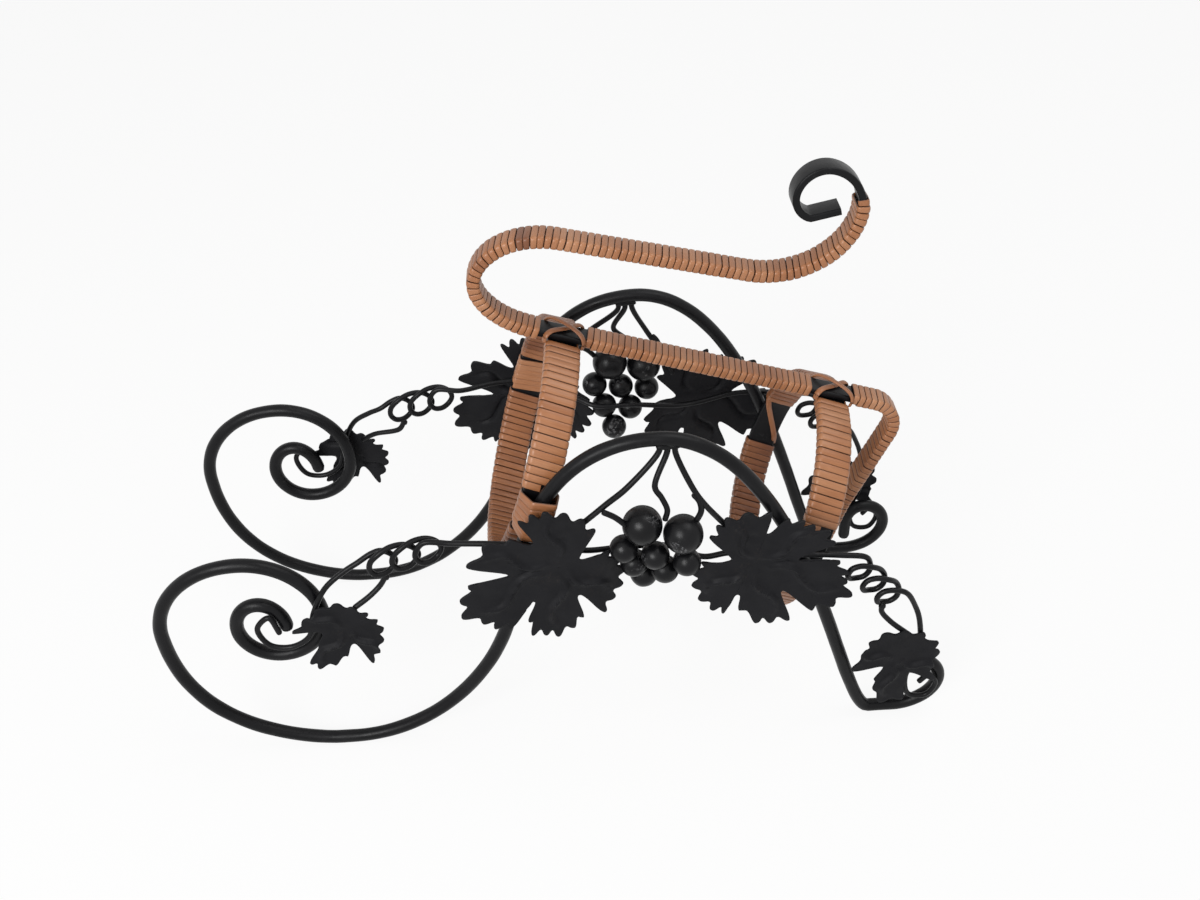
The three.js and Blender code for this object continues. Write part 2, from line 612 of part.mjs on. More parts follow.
// Grape cluster: two big grapes, then rows of three, two and one, each row against the one above it
function grapes(side, shift) {
  const [big, small] = [BIG_GRAPE_RADIUS, GRAPE_RADIUS];
  const bigHalf = big + WELD_GAP / 2;
  const underBig = Math.sqrt((big + small + ROW_GAP) ** 2 - (GRAPE_SPACING - bigHalf) ** 2);
  const rowDrop = Math.sqrt((2 * small + ROW_GAP) ** 2 - (GRAPE_SPACING / 2) ** 2);
  const turn = THREE.MathUtils.degToRad(CLUSTER_TURN);
  const yaw = THREE.MathUtils.degToRad(CLUSTER_YAW);
  const rows = [
    { radius: big, fall: 0, across: [-bigHalf, bigHalf] },
    { radius: small, fall: underBig, across: [-GRAPE_SPACING, 0, GRAPE_SPACING] },
    { radius: small, fall: rowDrop, across: [-GRAPE_SPACING / 2, GRAPE_SPACING / 2] },
    { radius: small, fall: rowDrop, across: [0] },
  ];
  const pieces = [];
  let y = frameY + CLUSTER_OUT;
  let drop = 0;
  rows.forEach((row, i) => {
    const tilt = THREE.MathUtils.degToRad(ROW_TILTS[i]);
    drop += row.fall * Math.cos(tilt);
    y -= row.fall * Math.sin(tilt);
    for (const a of row.across) {
      const ball = new THREE.SphereGeometry(row.radius, 12, 8);
      const piece = mesh(`${side}_grape_${pieces.length + 1}`, ball, blackIron);
      const x = CLUSTER_X + shift + a * Math.cos(turn) - drop * Math.sin(turn);
      const z = clusterHeight - a * Math.sin(turn) - drop * Math.cos(turn);
      piece.position.set(x, -y - a * Math.sin(yaw), z);
      pieces.push(piece);
    }
  });
  return pieces;
}

// Three curls in the vine one after another, each leaning across its plane to pass itself
function curls(first, run, fall, y, lean, fromTurn, toTurn) {
  const step = flat(run / 2, fall / 2);
  const along = step.clone().normalize();
  const upward = along.x > 0 ? flat(-along.y, along.x) : flat(along.y, -along.x);
  const points = [];
  const steps = 28;
  for (let i = 0; i <= steps; i += 1) {
    const turn = fromTurn + ((toTurn - fromTurn) * i) / steps;
    const t = turn * 2 * Math.PI;
    const place = first.clone().addScaledVector(step, turn - 0.5);
    place.addScaledVector(along, CURL_LENGTH * Math.sin(t));
    place.addScaledVector(upward, CURL_DEPTH * Math.cos(t));
    points.push(new THREE.Vector3(place.x, -y - lean * Math.tanh(CURL_SNAP * Math.sin(t)), place.y));
  }
  return points;
}

// Vine wire from a curl in the scroll's eye to one in the rear curl. It lies in the plane of the
// rods (out 0) and passes them on their outer side (out 1).
function vine(side, shift, hand) {
  const eye = flat((eyeNose.x + eyeTip.x) / 2, (eyeTop + eyeFloor.y) / 2);
  const curl = flat((rearInner.x + rearNose.x) / 2, rearNose.y);
  const [back, front, rear] = [scrollBack, frontHoopCentre, rearHoopCentre];
  const tuck = VINE_TUCK / (vineY - frameY);
  const place = ([x, z, out]) => new THREE.Vector3(x, -frameY - out * (vineY - frameY), z);
  const frontCurls = curls(
    flat(FRONT_CURLS_X, FRONT_CURLS_HEIGHT), FRONT_CURLS_RUN, FRONT_CURLS_FALL, frameY, hand * CURL_LEAN,
    0.08, 2.88,
  );
  const rearCurls = curls(
    flat(REAR_CURLS_X, REAR_CURLS_HEIGHT), REAR_CURLS_RUN, REAR_CURLS_FALL, vineY, -hand * CURL_LEAN,
    0, 2.85,
  );
  const points = [
    ...[
      [eye.x + 8.4, eye.y + 2, 1], [eye.x + 5.3, eye.y + 11.5, 1], [eye.x - 0.4, eye.y + 6, 1],
      [eye.x + 0.6, eye.y - 1, 1], [eye.x + 4, eye.y - 5.5, 1], [eye.x + 12, eye.y - 6.5, 1],
      [back.x - 7, back.y - 9, 1], [back.x - 2.4, back.y + 5.6, 1], [back.x + 4.4, back.y + 18.5, 0.8],
      [back.x + 12.8, back.y + 25, 0.3], [back.x + 18.8, back.y + 28.3, 0],
      [back.x + 24.3, back.y + 31, -hand * 0.4],
    ].map(place),
    ...frontCurls.reverse(),
    ...[
      [front.x - 34, front.y - 9.1, hand * 0.42], [front.x - 18, front.y - 9.3, 0.7],
      [front.x - 4, front.y - 10, 1], [front.x + 8, front.y - 13.2, 0.8], [front.x + 22, front.y - 18.8, 0],
      [shift - 14, vineMiddle, -tuck], [shift + 5, vineMiddle - 0.6, -tuck],
      [rear.x - 45, rear.y + 10.4, 0], [rear.x - 34, rear.y + 11.7, 0], [rear.x - 18, rear.y + 13, 0.8],
      [rear.x - 6, rear.y + 12.9, 1], [rear.x + 13, rear.y + 10.8, 1],
    ].map(place),
    ...rearCurls,
    ...[
      [rear.x + 42.3, rear.y - 11.3, 1 + hand * 0.42], [rear.x + 48.3, rear.y - 21.8, 1],
      [rear.x + 51.5, rear.y - 31.4, 1], [curl.x - 3, curl.y + 22, 1],
      [curl.x - 7, curl.y + 6, 1], [curl.x - 4, curl.y - 6, 1], [curl.x + 4, curl.y - 7, 1],
      [curl.x + 7.6, curl.y + 1, 1], [curl.x + 3.6, curl.y + 6, 1], [curl.x - 0.4, curl.y + 2, 1],
    ].map(place),
  ];
  reportWireGap(`${side}_vine`, points);
  return mesh(`${side}_vine`, wire(points, 210, WIRE_DIAMETER, 6), blackIron);
}

// Prints the least distance between stretches of one wire that are not neighbours, less its diameter
function reportWireGap(name, points) {
  const curve = new THREE.CatmullRomCurve3(points);
  const places = curve.getSpacedPoints(800);
  const apart = Math.ceil((800 * 4 * WIRE_DIAMETER) / curve.getLength());
  let least = Infinity;
  for (let i = 0; i < places.length; i += 1) {
    for (let j = i + apart; j < places.length; j += 1) {
      least = Math.min(least, places[i].distanceTo(places[j]));
    }
  }
  console.log(`${name}: least gap to itself ${(least - WIRE_DIAMETER).toFixed(2)} mm`);
}

// Stems hang side by side under the crown of the arch. Their bends are given as x, distance out from
// the middle of the stand, and how far up they are from the end to the top.
function stem(name, x, bends, end) {
  const lowest = legAt(x < 0 ? frontLeg : rearLeg, 'x', x + (x < 0 ? -wireRadius : wireRadius));
  const top = lowest.y - rodRadius - 2 * WELD_GAP;
  const points = [
    new THREE.Vector3(x, -frameY, top),
    new THREE.Vector3(x, -frameY, top - WIRE_DIAMETER),
    ...bends.map(([px, py, up]) => new THREE.Vector3(px, -py, THREE.MathUtils.lerp(end[2], top, up))),
    new THREE.Vector3(end[0], -end[1], end[2]),
  ];
  return mesh(name, wire(points, 10), blackIron);
}

// Short wire through places given as x, distance out from the middle of the stand, and height
function freeWire(name, route) {
  const points = route.map(([x, y, z]) => new THREE.Vector3(x, -y, z));
  return mesh(name, wire(points, 4 * (route.length - 1)), blackIron);
}

function sideOrnament(side, mirrored) {
  const hand = mirrored ? -1 : 1;
  const shift = mirrored ? RIGHT_GRAPE_SHIFT : 0;
  const stemShift = mirrored ? RIGHT_STEM_SHIFT : 0;
  const frontX = FRONT_LEAF_X + (mirrored ? RIGHT_FRONT_LEAF_SHIFT : 0);
  const smallX = FRONT_SMALL_LEAF_X + (mirrored ? RIGHT_FRONT_LEAF_SHIFT : 0);
  const rearX = REAR_LEAF_X + (mirrored ? RIGHT_REAR_LEAF_SHIFT : 0);
  const beforeVine = vineY + WIRE_DIAMETER + WELD_GAP;
  const stemX = (slot) => STEM_X + stemShift + slot * STEM_SPACING;
  const clusterY = frameY + CLUSTER_OUT;
  const frontLeafHeight = frontHoopCentre.y - FRONT_LEAF_DROP;
  const rearLeafHeight = rearHoopCentre.y + REAR_LEAF_RISE;
  const frontLast = flat(FRONT_CURLS_X + FRONT_CURLS_RUN, FRONT_CURLS_HEIGHT + FRONT_CURLS_FALL);
  const rearLast = flat(REAR_CURLS_X + REAR_CURLS_RUN, REAR_CURLS_HEIGHT + REAR_CURLS_FALL);
  const pieces = [
    vine(side, shift, hand),
    freeWire(`${side}_front_leaf_stem`, [
      [frontLast.x + 0.8, frameY, frontLast.y - CURL_DEPTH - WIRE_DIAMETER - 0.4],
      [frontLast.x - 2.3, frameY + 0.5, frontLast.y - 13],
      [smallX + 11.3, vineY - 2, FRONT_SMALL_LEAF_HEIGHT + 14.4],
      [smallX + 4.2, vineY, FRONT_SMALL_LEAF_HEIGHT + 9.8],
    ]),
    freeWire(`${side}_rear_leaf_stem`, [
      [rearLast.x - 4.4, vineY, rearLast.y - 7.2], [rearLast.x - 1.6, vineY, rearLast.y - 11],
      [REAR_SMALL_LEAF_X - 4.3, vineY, REAR_SMALL_LEAF_HEIGHT + 22.1],
      [REAR_SMALL_LEAF_X + 4.8, vineY, REAR_SMALL_LEAF_HEIGHT + 13.2],
    ]),
    stem(`${side}_front_stem`, stemX(-1), [
      [stemShift - 12.4, vineY, 0.51], [stemShift - 20.9, vineY, 0.27],
    ], [frontX + 10, vineY + 0.6, frontLeafHeight + 19.3]),
    stem(`${side}_middle_stem`, stemX(0), [
      [stemShift - 1.3, vineY, 0.5], [shift + 1.5, vineY, 0.31], [shift + 3.6, clusterY - 0.5, 0.15],
    ], [shift + 2.6, clusterY, clusterHeight + 5.8]),
    stem(`${side}_rear_stem`, stemX(1), [
      [stemShift + 14, vineY, 0.57], [stemShift + 19, vineY, 0.36],
    ], [rearX - 11.5, vineY - 2.5, rearLeafHeight + 16.9]),
    freeWire(`${side}_side_stem`, [
      [stemShift - 22.5, beforeVine, clusterHeight + 12.6], [shift - 18.7, beforeVine, clusterHeight + 10],
      [shift - 16.1, beforeVine, clusterHeight + 3.6],
    ]),
    leaf(`${side}_front_large_leaf`, FRONT_LARGE_LOBES, frontX, frontLeafHeight, false,
      FRONT_LEAF_OUT, FRONT_LEAF_YAW, FRONT_LEAF_SPIN),
    leaf(`${side}_rear_large_leaf`, REAR_LARGE_LOBES, rearX, rearLeafHeight, true,
      REAR_LEAF_OUT, REAR_LEAF_YAW, REAR_LEAF_SPIN),
    leaf(`${side}_front_small_leaf`, FRONT_SMALL_LOBES, smallX, FRONT_SMALL_LEAF_HEIGHT, false),
    leaf(`${side}_rear_small_leaf`, REAR_SMALL_LOBES, REAR_SMALL_LEAF_X, REAR_SMALL_LEAF_HEIGHT, false),
    ...grapes(side, shift),
  ];
  return pieces;
}

function sideGroup(side, mirrored) {
  const group = new THREE.Group();
  const rod = sweep(framePath.stations(), roundProfile(ROD_DIAMETER));
  const frame = mesh(`${side}_side_frame`, rod, blackIron);
  frame.position.y = -frameY;
  group.add(frame, ...sideOrnament(side, mirrored));
  if (mirrored) group.scale.y = -1;
  return group;
}

const holder = new THREE.Group();
holder.add(sideGroup('left', false), sideGroup('right', true));
holder.add(handleBar(), hoop('front_hoop', frontHoopCentre), hoop('rear_hoop', rearHoopCentre));
holder.add(...bindings());
holder.position.x = (SCROLL_REACH - REAR_REACH) / 2;

export default holder;
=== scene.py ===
# Wine bottle holder: black wrought iron with a grape vine, bound turn by turn with rattan cane.
# Lengths in the dictionaries are millimetres, drawn with x = 0 under the crown of the arches.
import bisect
import math
import random

import bmesh
import bpy
from mathutils import Matrix, Vector, noise


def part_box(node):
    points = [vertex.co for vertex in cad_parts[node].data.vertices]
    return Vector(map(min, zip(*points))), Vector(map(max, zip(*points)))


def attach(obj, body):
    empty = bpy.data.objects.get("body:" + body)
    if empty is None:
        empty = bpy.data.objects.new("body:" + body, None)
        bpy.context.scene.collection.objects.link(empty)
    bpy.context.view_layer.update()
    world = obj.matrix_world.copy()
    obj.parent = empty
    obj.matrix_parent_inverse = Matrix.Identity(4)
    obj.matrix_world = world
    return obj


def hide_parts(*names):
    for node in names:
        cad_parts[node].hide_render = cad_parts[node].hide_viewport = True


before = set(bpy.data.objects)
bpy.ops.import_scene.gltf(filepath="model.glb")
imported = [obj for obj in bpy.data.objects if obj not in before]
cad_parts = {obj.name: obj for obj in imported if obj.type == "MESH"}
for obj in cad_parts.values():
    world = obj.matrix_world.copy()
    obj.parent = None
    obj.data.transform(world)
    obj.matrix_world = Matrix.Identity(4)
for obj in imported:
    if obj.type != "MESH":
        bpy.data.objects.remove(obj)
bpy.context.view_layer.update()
print("frame loaded:", len(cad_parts), "nodes")

mm = 0.001
up = Vector((0, 0, 1))
across = Vector((0, 1, 0))
rng = random.Random(7)


# Shared stock and the side frames' bends, as the iron was cut and bent
iron = {"rod": 6.0, "wire": 2.5, "barWidth": 10.0, "barThick": 3.0, "hoopWidth": 13.0, "hoopThick": 3.0,
        "sheet": 1.0, "weldGap": 0.3}
sideFrame = {
    "spacing": 110.0, "archHeight": 167.4, "leanReach": 61.6, "leanHeight": 88.0, "leanAngle": 6.5,
    "frontCrownEase": 44.4, "frontFootEase": 41.0, "leanUpperEase": 30.2, "leanLowerEase": 42.5,
    "rearCrownEase": 61.6, "rearFootEase": 14.5, "frontFootFlat": 6.0, "rearFootFlat": 11.0,
    "scrollReach": 214.0, "scrollFootReach": 145.0, "noseHeight": 74.0, "noseEase": 63.7, "footEase": 10.0,
    "scrollHeight": 113.4, "crownSetback": 39.5, "scrollWidth": 70.5, "backDrop": 30.4,
    "eyeNoseInset": 32.7, "eyeCrownInset": 23.0, "eyeBackInset": 16.5, "eyeHeight": 30.2, "eyeTipDrop": 14.4,
    "eyeNoseDrop": 13.59,
    "rearReach": 131.0, "rearFootReach": 105.5, "rearNoseHeight": 20.3, "rearCurlHeight": 32.2,
    "rearCurlSetback": 11.5, "rearCurlWidth": 20.2, "rearTipHeight": 11.5,
}
rodRadius = iron["rod"] / 2
wireRadius = iron["wire"] / 2
frameY = sideFrame["spacing"] / 2
vineY = frameY + rodRadius + iron["weldGap"] + wireRadius
leafY = vineY + wireRadius + iron["weldGap"]
# where the frame has the crown of the arches
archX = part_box("left_side_frame")[0][0] / mm + sideFrame["scrollReach"] + rodRadius


def inFrame(p):
    return Vector(((p[0] + archX) * mm, p[1] * mm, p[2] * mm))


# Paths: lists of points about a millimetre apart, with the length travelled at each
quarterEase = 0.5523  # share of the way to a corner that bends a Bezier curve into a quarter of an ellipse


def heading(degrees):
    return Vector((math.cos(math.radians(degrees)), math.sin(math.radians(degrees))))


def flatBezier(a, b, c, d, steps):
    points = []
    for i in range(1, steps + 1):
        t = i / steps
        k = 1 - t
        points.append(a * k ** 3 + b * 3 * k * k * t + c * 3 * k * t * t + d * t ** 3)
    return points


def bentPath(start, moves):
    points = [Vector(start)]
    for move in moves:
        here = points[-1]
        to = Vector(move[-1])
        steps = max(6, int((to - here).length / 0.8))
        if move[0] == "line":
            points += [here.lerp(to, i / steps) for i in range(1, steps + 1)]
            continue
        if move[0] == "round":  # a quarter of an ellipse into the corner
            corner = Vector(move[1])
            leave, arrive = here.lerp(corner, quarterEase), to.lerp(corner, quarterEase)
        else:  # leaves and arrives at an angle, keeping each direction over its ease
            leaveAngle, leaveEase, arriveAngle, arriveEase = move[1:5]
            leave = here + heading(leaveAngle) * leaveEase
            arrive = to - heading(arriveAngle) * arriveEase
        points += flatBezier(here, leave, arrive, to, steps)
    return measured([Vector((p.x, 0, p.y)) for p in points])


def measured(points):
    lengths = [0.0]
    for a, b in zip(points, points[1:]):
        lengths.append(lengths[-1] + (b - a).length)
    return {"points": points, "lengths": lengths, "total": lengths[-1]}


def placeAt(path, s):
    s = min(max(s, 0.0), path["total"])
    lengths = path["lengths"]
    high = min(bisect.bisect_right(lengths, s), len(lengths) - 1)
    low = high - 1
    a, b = path["points"][low], path["points"][high]
    span = lengths[high] - lengths[low]
    before = path["points"][max(low - 1, 0)]
    after = path["points"][min(high + 1, len(lengths) - 1)]
    t = (s - lengths[low]) / span if span else 0.0
    way = ((b - before).normalized().lerp((after - a).normalized(), t)).normalized()
    return a.lerp(b, t), way


def smoothThrough(points, spacing):
    # centripetal curve through points, as a wire bends
    points = [Vector(p) for p in points]
    ends = [points[0] * 2 - points[1]] + points + [points[-1] * 2 - points[-2]]
    made = []
    for p0, p1, p2, p3 in zip(ends, ends[1:], ends[2:], ends[3:]):
        k0, k1, k2 = [max((b - a).length, 1e-6) ** 0.5 for a, b in ((p0, p1), (p1, p2), (p2, p3))]
        m1 = ((p1 - p0) / k0 - (p2 - p0) / (k0 + k1) + (p2 - p1) / k1) * k1
        m2 = ((p2 - p1) / k1 - (p3 - p1) / (k1 + k2) + (p3 - p2) / k2) * k1
        steps = max(3, int((p2 - p1).length / spacing))
        for i in range(steps):
            t = i / steps
            made.append(p1 * (2 * t ** 3 - 3 * t * t + 1) + m1 * (t ** 3 - 2 * t * t + t)
                        + p2 * (3 * t * t - 2 * t ** 3) + m2 * (t ** 3 - t * t))
    made.append(points[-1])
    return measured(made)


# Meshes: rings of points joined into one skin
def skinMesh(name, rings, closed=False, uvs=None, tones=None):
    count = len(rings[0])
    verts = [inFrame(p) for ring in rings for p in ring]
    faces = []
    for i in range(len(rings) if closed else len(rings) - 1):
        here, there = i * count, ((i + 1) % len(rings)) * count
        for j in range(count):
            k = (j + 1) % count
            faces.append((here + j, here + k, there + k, there + j))
    if not closed:
        faces.append(tuple(reversed(range(count))))
        faces.append(tuple(range((len(rings) - 1) * count, len(rings) * count)))
    data = bpy.data.meshes.new(name)
    data.from_pydata(verts, [], faces)
    if uvs:
        layer = data.uv_layers.new(name="strip")
        for loop in data.loops:
            layer.data[loop.index].uv = uvs[loop.vertex_index]
    if tones:
        data.attributes.new("tone", "FLOAT", "POINT").data.foreach_set("value", tones)
    data.update()
    return data


def addPiece(name, data, material, replaced=(), smoothAngle=40):
    piece = bpy.data.objects.new(name, data)
    bpy.context.scene.collection.objects.link(piece)
    data.materials.append(material)
    bm = bmesh.new()
    bm.from_mesh(data)
    bmesh.ops.recalc_face_normals(bm, faces=bm.faces)
    for edge in bm.edges:
        edge.smooth = not edge.is_manifold or edge.calc_face_angle(0) < math.radians(smoothAngle)
    for face in bm.faces:
        face.smooth = True
    bm.to_mesh(data)
    bm.free()
    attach(piece, "root")
    if replaced:
        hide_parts(*replaced)
    return piece


# a bar's ends, filed down over a share of its radius, and the forge's marks on it, as marks to the millimetre
barEnd = {"filed": 0.16, "length": 0.3}
forgeMarks = 0.09


def roundRod(path, radius, sides, ripple, seed):
    # a round bar along any path; ripple is the unevenness left by the forge
    rings = []
    side = None
    steps = max(2, int(path["total"] / (radius * 0.5)))
    for i in range(steps + 1):
        s = path["total"] * i / steps
        point, way = placeAt(path, s)
        if side is None:
            side = way.cross(across if abs(way.y) < 0.9 else up).normalized()
        side = (side - way * side.dot(way)).normalized()
        other = way.cross(side)
        end = min(s, path["total"] - s)
        size = radius * (1 - barEnd["filed"] * max(0.0, 1 - end / (radius * barEnd["length"])))
        ring = []
        for j in range(sides):
            a = 2 * math.pi * j / sides
            out = side * math.cos(a) + other * math.sin(a)
            bump = ripple * noise.noise((point + out * radius) * forgeMarks + Vector((seed, seed, 0)))
            ring.append(point + out * (size + bump))
        rings.append(ring)
    return rings


def mirrored(points, side):
    return [Vector((p[0], p[1] if side == "right" else -p[1], p[2])) for p in points]


# Colour and nodes
def hexColour(text):
    channels = [int(text[i:i + 2], 16) / 255 for i in (1, 3, 5)]
    return tuple(c / 12.92 if c <= 0.04045 else ((c + 0.055) / 1.055) ** 2.4 for c in channels) + (1.0,)


def setInputs(tree, made, inputs):
    # each input's value, socket, or node whose first output feeds it
    for socket, value in inputs.items():
        if isinstance(value, bpy.types.Node):
            value = value.outputs[0]
        if isinstance(value, bpy.types.NodeSocket):
            tree.links.new(value, made.inputs[socket])
        else:
            made.inputs[socket].default_value = value


def node(tree, kind, inputs=None, stops=(), **settings):
    made = tree.nodes.new("ShaderNode" + kind)
    for k, (place, colour) in enumerate(stops):  # a colour ramp's stops, two of them there already
        element = made.color_ramp.elements[k] if k < 2 else made.color_ramp.elements.new(place)
        element.position = place
        element.color = colour
    for key, value in settings.items():
        setattr(made, key, value)
    setInputs(tree, made, inputs or {})
    return made


def newMaterial(name):
    material = bpy.data.materials.new(name)
    material.use_nodes = True
    tree = material.node_tree
    return material, tree, tree.nodes["Principled BSDF"]


def perMm(size):
    return 1 / (size * mm)  # texture scale for a pattern of this size


# Wrought iron, dipped in satin black stoving paint: an even dark skin with soft orange peel, and
# the forge's shallow dents under it
blackPaint = {"colour": "#0b0b0d", "worn": "#151517", "scuffed": "#59595b", "roughness": (0.3, 0.44),
              "peel": 0.9, "dents": 7.0, "scuffs": 0.12, "gloss": 0.17}
grain = {"patch": 28.0, "scuffSpot": 11.0, "scratch": 1.3, "dentDepth": 0.5, "peelDepth": 0.15}


def paintedIron(name, look):
    material, tree, shader = newMaterial(name)
    place = node(tree, "TexCoord").outputs["Object"]
    sizes = [(look["peel"], 2.0), (look["dents"], 2.0), (grain["patch"], 4.0), (grain["scuffSpot"], 2.0)]
    peel, dents, patches, where = [
        node(tree, "TexNoise", {"Vector": place, "Scale": perMm(size), "Detail": detail})
        for size, detail in sizes]
    tint = node(tree, "ValToRGB", {"Fac": patches},
                stops=[(0.42, hexColour(look["colour"])), (0.75, hexColour(look["worn"]))])
    scratch = node(tree, "TexNoise", {
        "Vector": place, "Scale": perMm(grain["scratch"]), "Detail": 5.0, "Roughness": 0.7})
    spot = node(tree, "MapRange", {"Value": where, "From Min": 0.6, "From Max": 0.68})
    grit = node(tree, "MapRange", {
        "Value": scratch, "From Min": 0.52, "From Max": 0.62, "To Max": look["scuffs"]})
    rubbed = node(tree, "Math", {0: spot, 1: grit}, operation="MULTIPLY")
    skin = node(tree, "Mix", {0: rubbed, 6: tint, 7: hexColour(look["scuffed"])}, data_type="RGBA")
    low, high = look["roughness"]
    rough = node(tree, "MapRange", {
        "Value": dents, "From Min": 0.3, "From Max": 0.7, "To Min": low, "To Max": high})
    soft = node(tree, "Bump", {"Height": dents, "Strength": 0.25, "Distance": grain["dentDepth"] * mm})
    fine = node(tree, "Bump", {
        "Height": peel, "Strength": 0.18, "Distance": grain["peelDepth"] * mm, "Normal": soft})
    setInputs(tree, shader, {
        "Base Color": skin.outputs[2], "Roughness": rough, "Normal": fine,
        "Specular IOR Level": look["gloss"]})
    return material


satinIron = paintedIron("satin_black_painted_iron", blackPaint)

# Pressed sheet iron, powder coated: dead matt charcoal with a fine grain
powderCoat = {"colour": "#101013", "worn": "#161619", "scuffed": "#4a4038", "roughness": (0.5, 0.66),
              "peel": 0.7, "dents": 5.0, "scuffs": 0.1, "gloss": 0.16}
mattSheet = paintedIron("matt_powder_coated_sheet", powderCoat)

# Pressed steel balls under the same paint, scuffed where the welds were dressed
ballPaint = {"colour": "#09090b", "worn": "#121214", "scuffed": "#7b7b7d", "roughness": (0.26, 0.4),
             "peel": 1.1, "dents": 4.0, "scuffs": 0.7, "gloss": 0.2}
ballIron = paintedIron("satin_black_painted_ball", ballPaint)

# Rattan winding: one strip of cane laid turn by turn, each turn a little uneven
winding = {"pitch": 2.8, "hoopPitch": 3.4, "cover": 0.95, "thick": 0.75, "wander": 0.05, "lift": 0.12,
           "dome": 0.25, "shade": (0.36, 0.64), "darkShade": (-0.15, 0.05), "tuckedTurns": 3,
           "tuckedHeight": 0.1}

# Rattan cane: split peel of the palm, waxed and warm tan, each turn its own shade, fine fibres along
# the strip, and painted shade darkening both edges of the strip where two turns meet
cane = {"pale": "#bd8a66", "tan": "#a36b45", "brown": "#74452a", "edge": "#22100a", "fibre": 0.35,
        "fibreDepth": 0.12, "patch": 26.0, "gapShadeFrom": 0.41, "gapShadeTo": 0.49}


def rattanCane():
    material, tree, shader = newMaterial("waxed_rattan_cane")
    strip = node(tree, "UVMap", uv_map="strip")
    place = node(tree, "TexCoord").outputs["Object"]
    tone = node(tree, "Attribute", attribute_name="tone").outputs["Fac"]
    stretch = node(tree, "Mapping", {"Vector": strip, "Scale": (0.04, winding["pitch"] * mm, 1.0)})
    fibre = node(tree, "TexNoise", {
        "Vector": stretch, "Scale": perMm(cane["fibre"]), "Detail": 3.0, "Roughness": 0.6})
    patch = node(tree, "TexNoise", {"Vector": place, "Scale": perMm(cane["patch"]), "Detail": 3.0})
    mixed = node(tree, "Math", {0: patch, 1: tone}, operation="ADD")
    half = node(tree, "Math", {0: mixed, 1: 0.5}, operation="MULTIPLY")
    shades = [(0.22, "brown"), (0.48, "tan"), (0.75, "pale")]
    shade = node(tree, "ValToRGB", {"Fac": half}, stops=[(at, hexColour(cane[name])) for at, name in shades])
    streak = node(tree, "ValToRGB", {"Fac": fibre}, stops=[(0.3, (0.72, 0.66, 0.6, 1)), (0.6, (1, 1, 1, 1))])
    coloured = node(tree, "Mix", {0: 0.55, 6: shade, 7: streak}, data_type="RGBA", blend_type="MULTIPLY")
    sides = node(tree, "SeparateXYZ", {"Vector": strip})
    fromMiddle = node(tree, "Math", {0: sides.outputs["Y"]}, operation="ABSOLUTE")
    # painted shade: the edge colour darkens the strip towards both its edges, where two turns meet
    edge = node(tree, "MapRange", {
        "Value": fromMiddle, "From Min": cane["gapShadeFrom"], "From Max": cane["gapShadeTo"], "To Max": 0.9})
    final = node(tree, "Mix", {0: edge, 6: coloured.outputs[2], 7: hexColour(cane["edge"])}, data_type="RGBA")
    bump = node(tree, "Bump", {"Height": fibre, "Strength": 0.3, "Distance": cane["fibreDepth"] * mm})
    setInputs(tree, shader, {"Base Color": final.outputs[2], "Normal": bump, "Roughness": 0.4})
    return material


rattan = rattanCane()
print("materials made")


# Side frames: inner turn of the scroll, outer turn, front foot, arch, rear foot, rear curl
def sideFramePath():
    f = sideFrame
    nose = Vector((-f["scrollReach"], f["noseHeight"]))
    scrollCrown = Vector((nose.x + f["crownSetback"], f["scrollHeight"]))
    scrollBack = Vector((nose.x + f["scrollWidth"], f["scrollHeight"] - f["backDrop"]))
    eyeTop = f["scrollHeight"] - f["eyeCrownInset"]
    eyeNose = Vector((nose.x + f["eyeNoseInset"], eyeTop - f["eyeNoseDrop"]))
    eyeTip = Vector((scrollBack.x - f["eyeBackInset"], eyeTop - f["eyeTipDrop"]))
    eyeCrown = Vector(((eyeNose.x + eyeTip.x) / 2, eyeTop))
    eyeFloor = Vector((eyeNose.x + f["eyeNoseInset"] / 2, eyeTop - f["eyeHeight"]))
    frontFoot = Vector((-f["scrollFootReach"] + f["frontFootFlat"] / 2, rodRadius))
    rearFoot = Vector((f["rearFootReach"] - f["rearFootFlat"] / 2, rodRadius))
    rearNose = Vector((f["rearReach"], f["rearNoseHeight"]))
    rearCrown = Vector((f["rearReach"] - f["rearCurlSetback"], f["rearCurlHeight"]))
    rearInner = Vector((f["rearReach"] - f["rearCurlWidth"], (f["rearCurlHeight"] + f["rearTipHeight"]) / 2))
    lean = 90 - f["leanAngle"]
    centres = {"back": scrollBack, "eye": Vector(((eyeNose.x + eyeTip.x) / 2, (eyeTop + eyeFloor.y) / 2)),
               "curl": Vector(((rearInner.x + rearNose.x) / 2, rearNose.y))}
    path = bentPath(eyeTip, [
        ("round", (eyeTip.x, eyeCrown.y), eyeCrown),
        ("round", (eyeNose.x, eyeCrown.y), eyeNose),
        ("round", (eyeNose.x, eyeFloor.y), eyeFloor),
        ("round", (scrollBack.x, eyeFloor.y), scrollBack),
        ("round", (scrollBack.x, scrollCrown.y), scrollCrown),
        ("round", (nose.x, scrollCrown.y), nose),
        ("bend", -90, f["noseEase"], 0, f["footEase"], (frontFoot.x - f["frontFootFlat"], rodRadius)),
        ("line", frontFoot),
        ("bend", 0, f["frontFootEase"], lean, f["leanLowerEase"], (-f["leanReach"], f["leanHeight"])),
        ("bend", lean, f["leanUpperEase"], 0, f["frontCrownEase"], (0, f["archHeight"])),
        ("bend", 0, f["rearCrownEase"], 0, f["rearFootEase"], rearFoot),
        ("line", (rearFoot.x + f["rearFootFlat"], rodRadius)),
        ("round", (rearNose.x, rodRadius), rearNose),
        ("round", (rearNose.x, rearCrown.y), rearCrown),
        ("round", (rearInner.x, rearCrown.y), rearInner),
        ("line", (rearInner.x, f["rearTipHeight"])),
    ])
    return path, centres


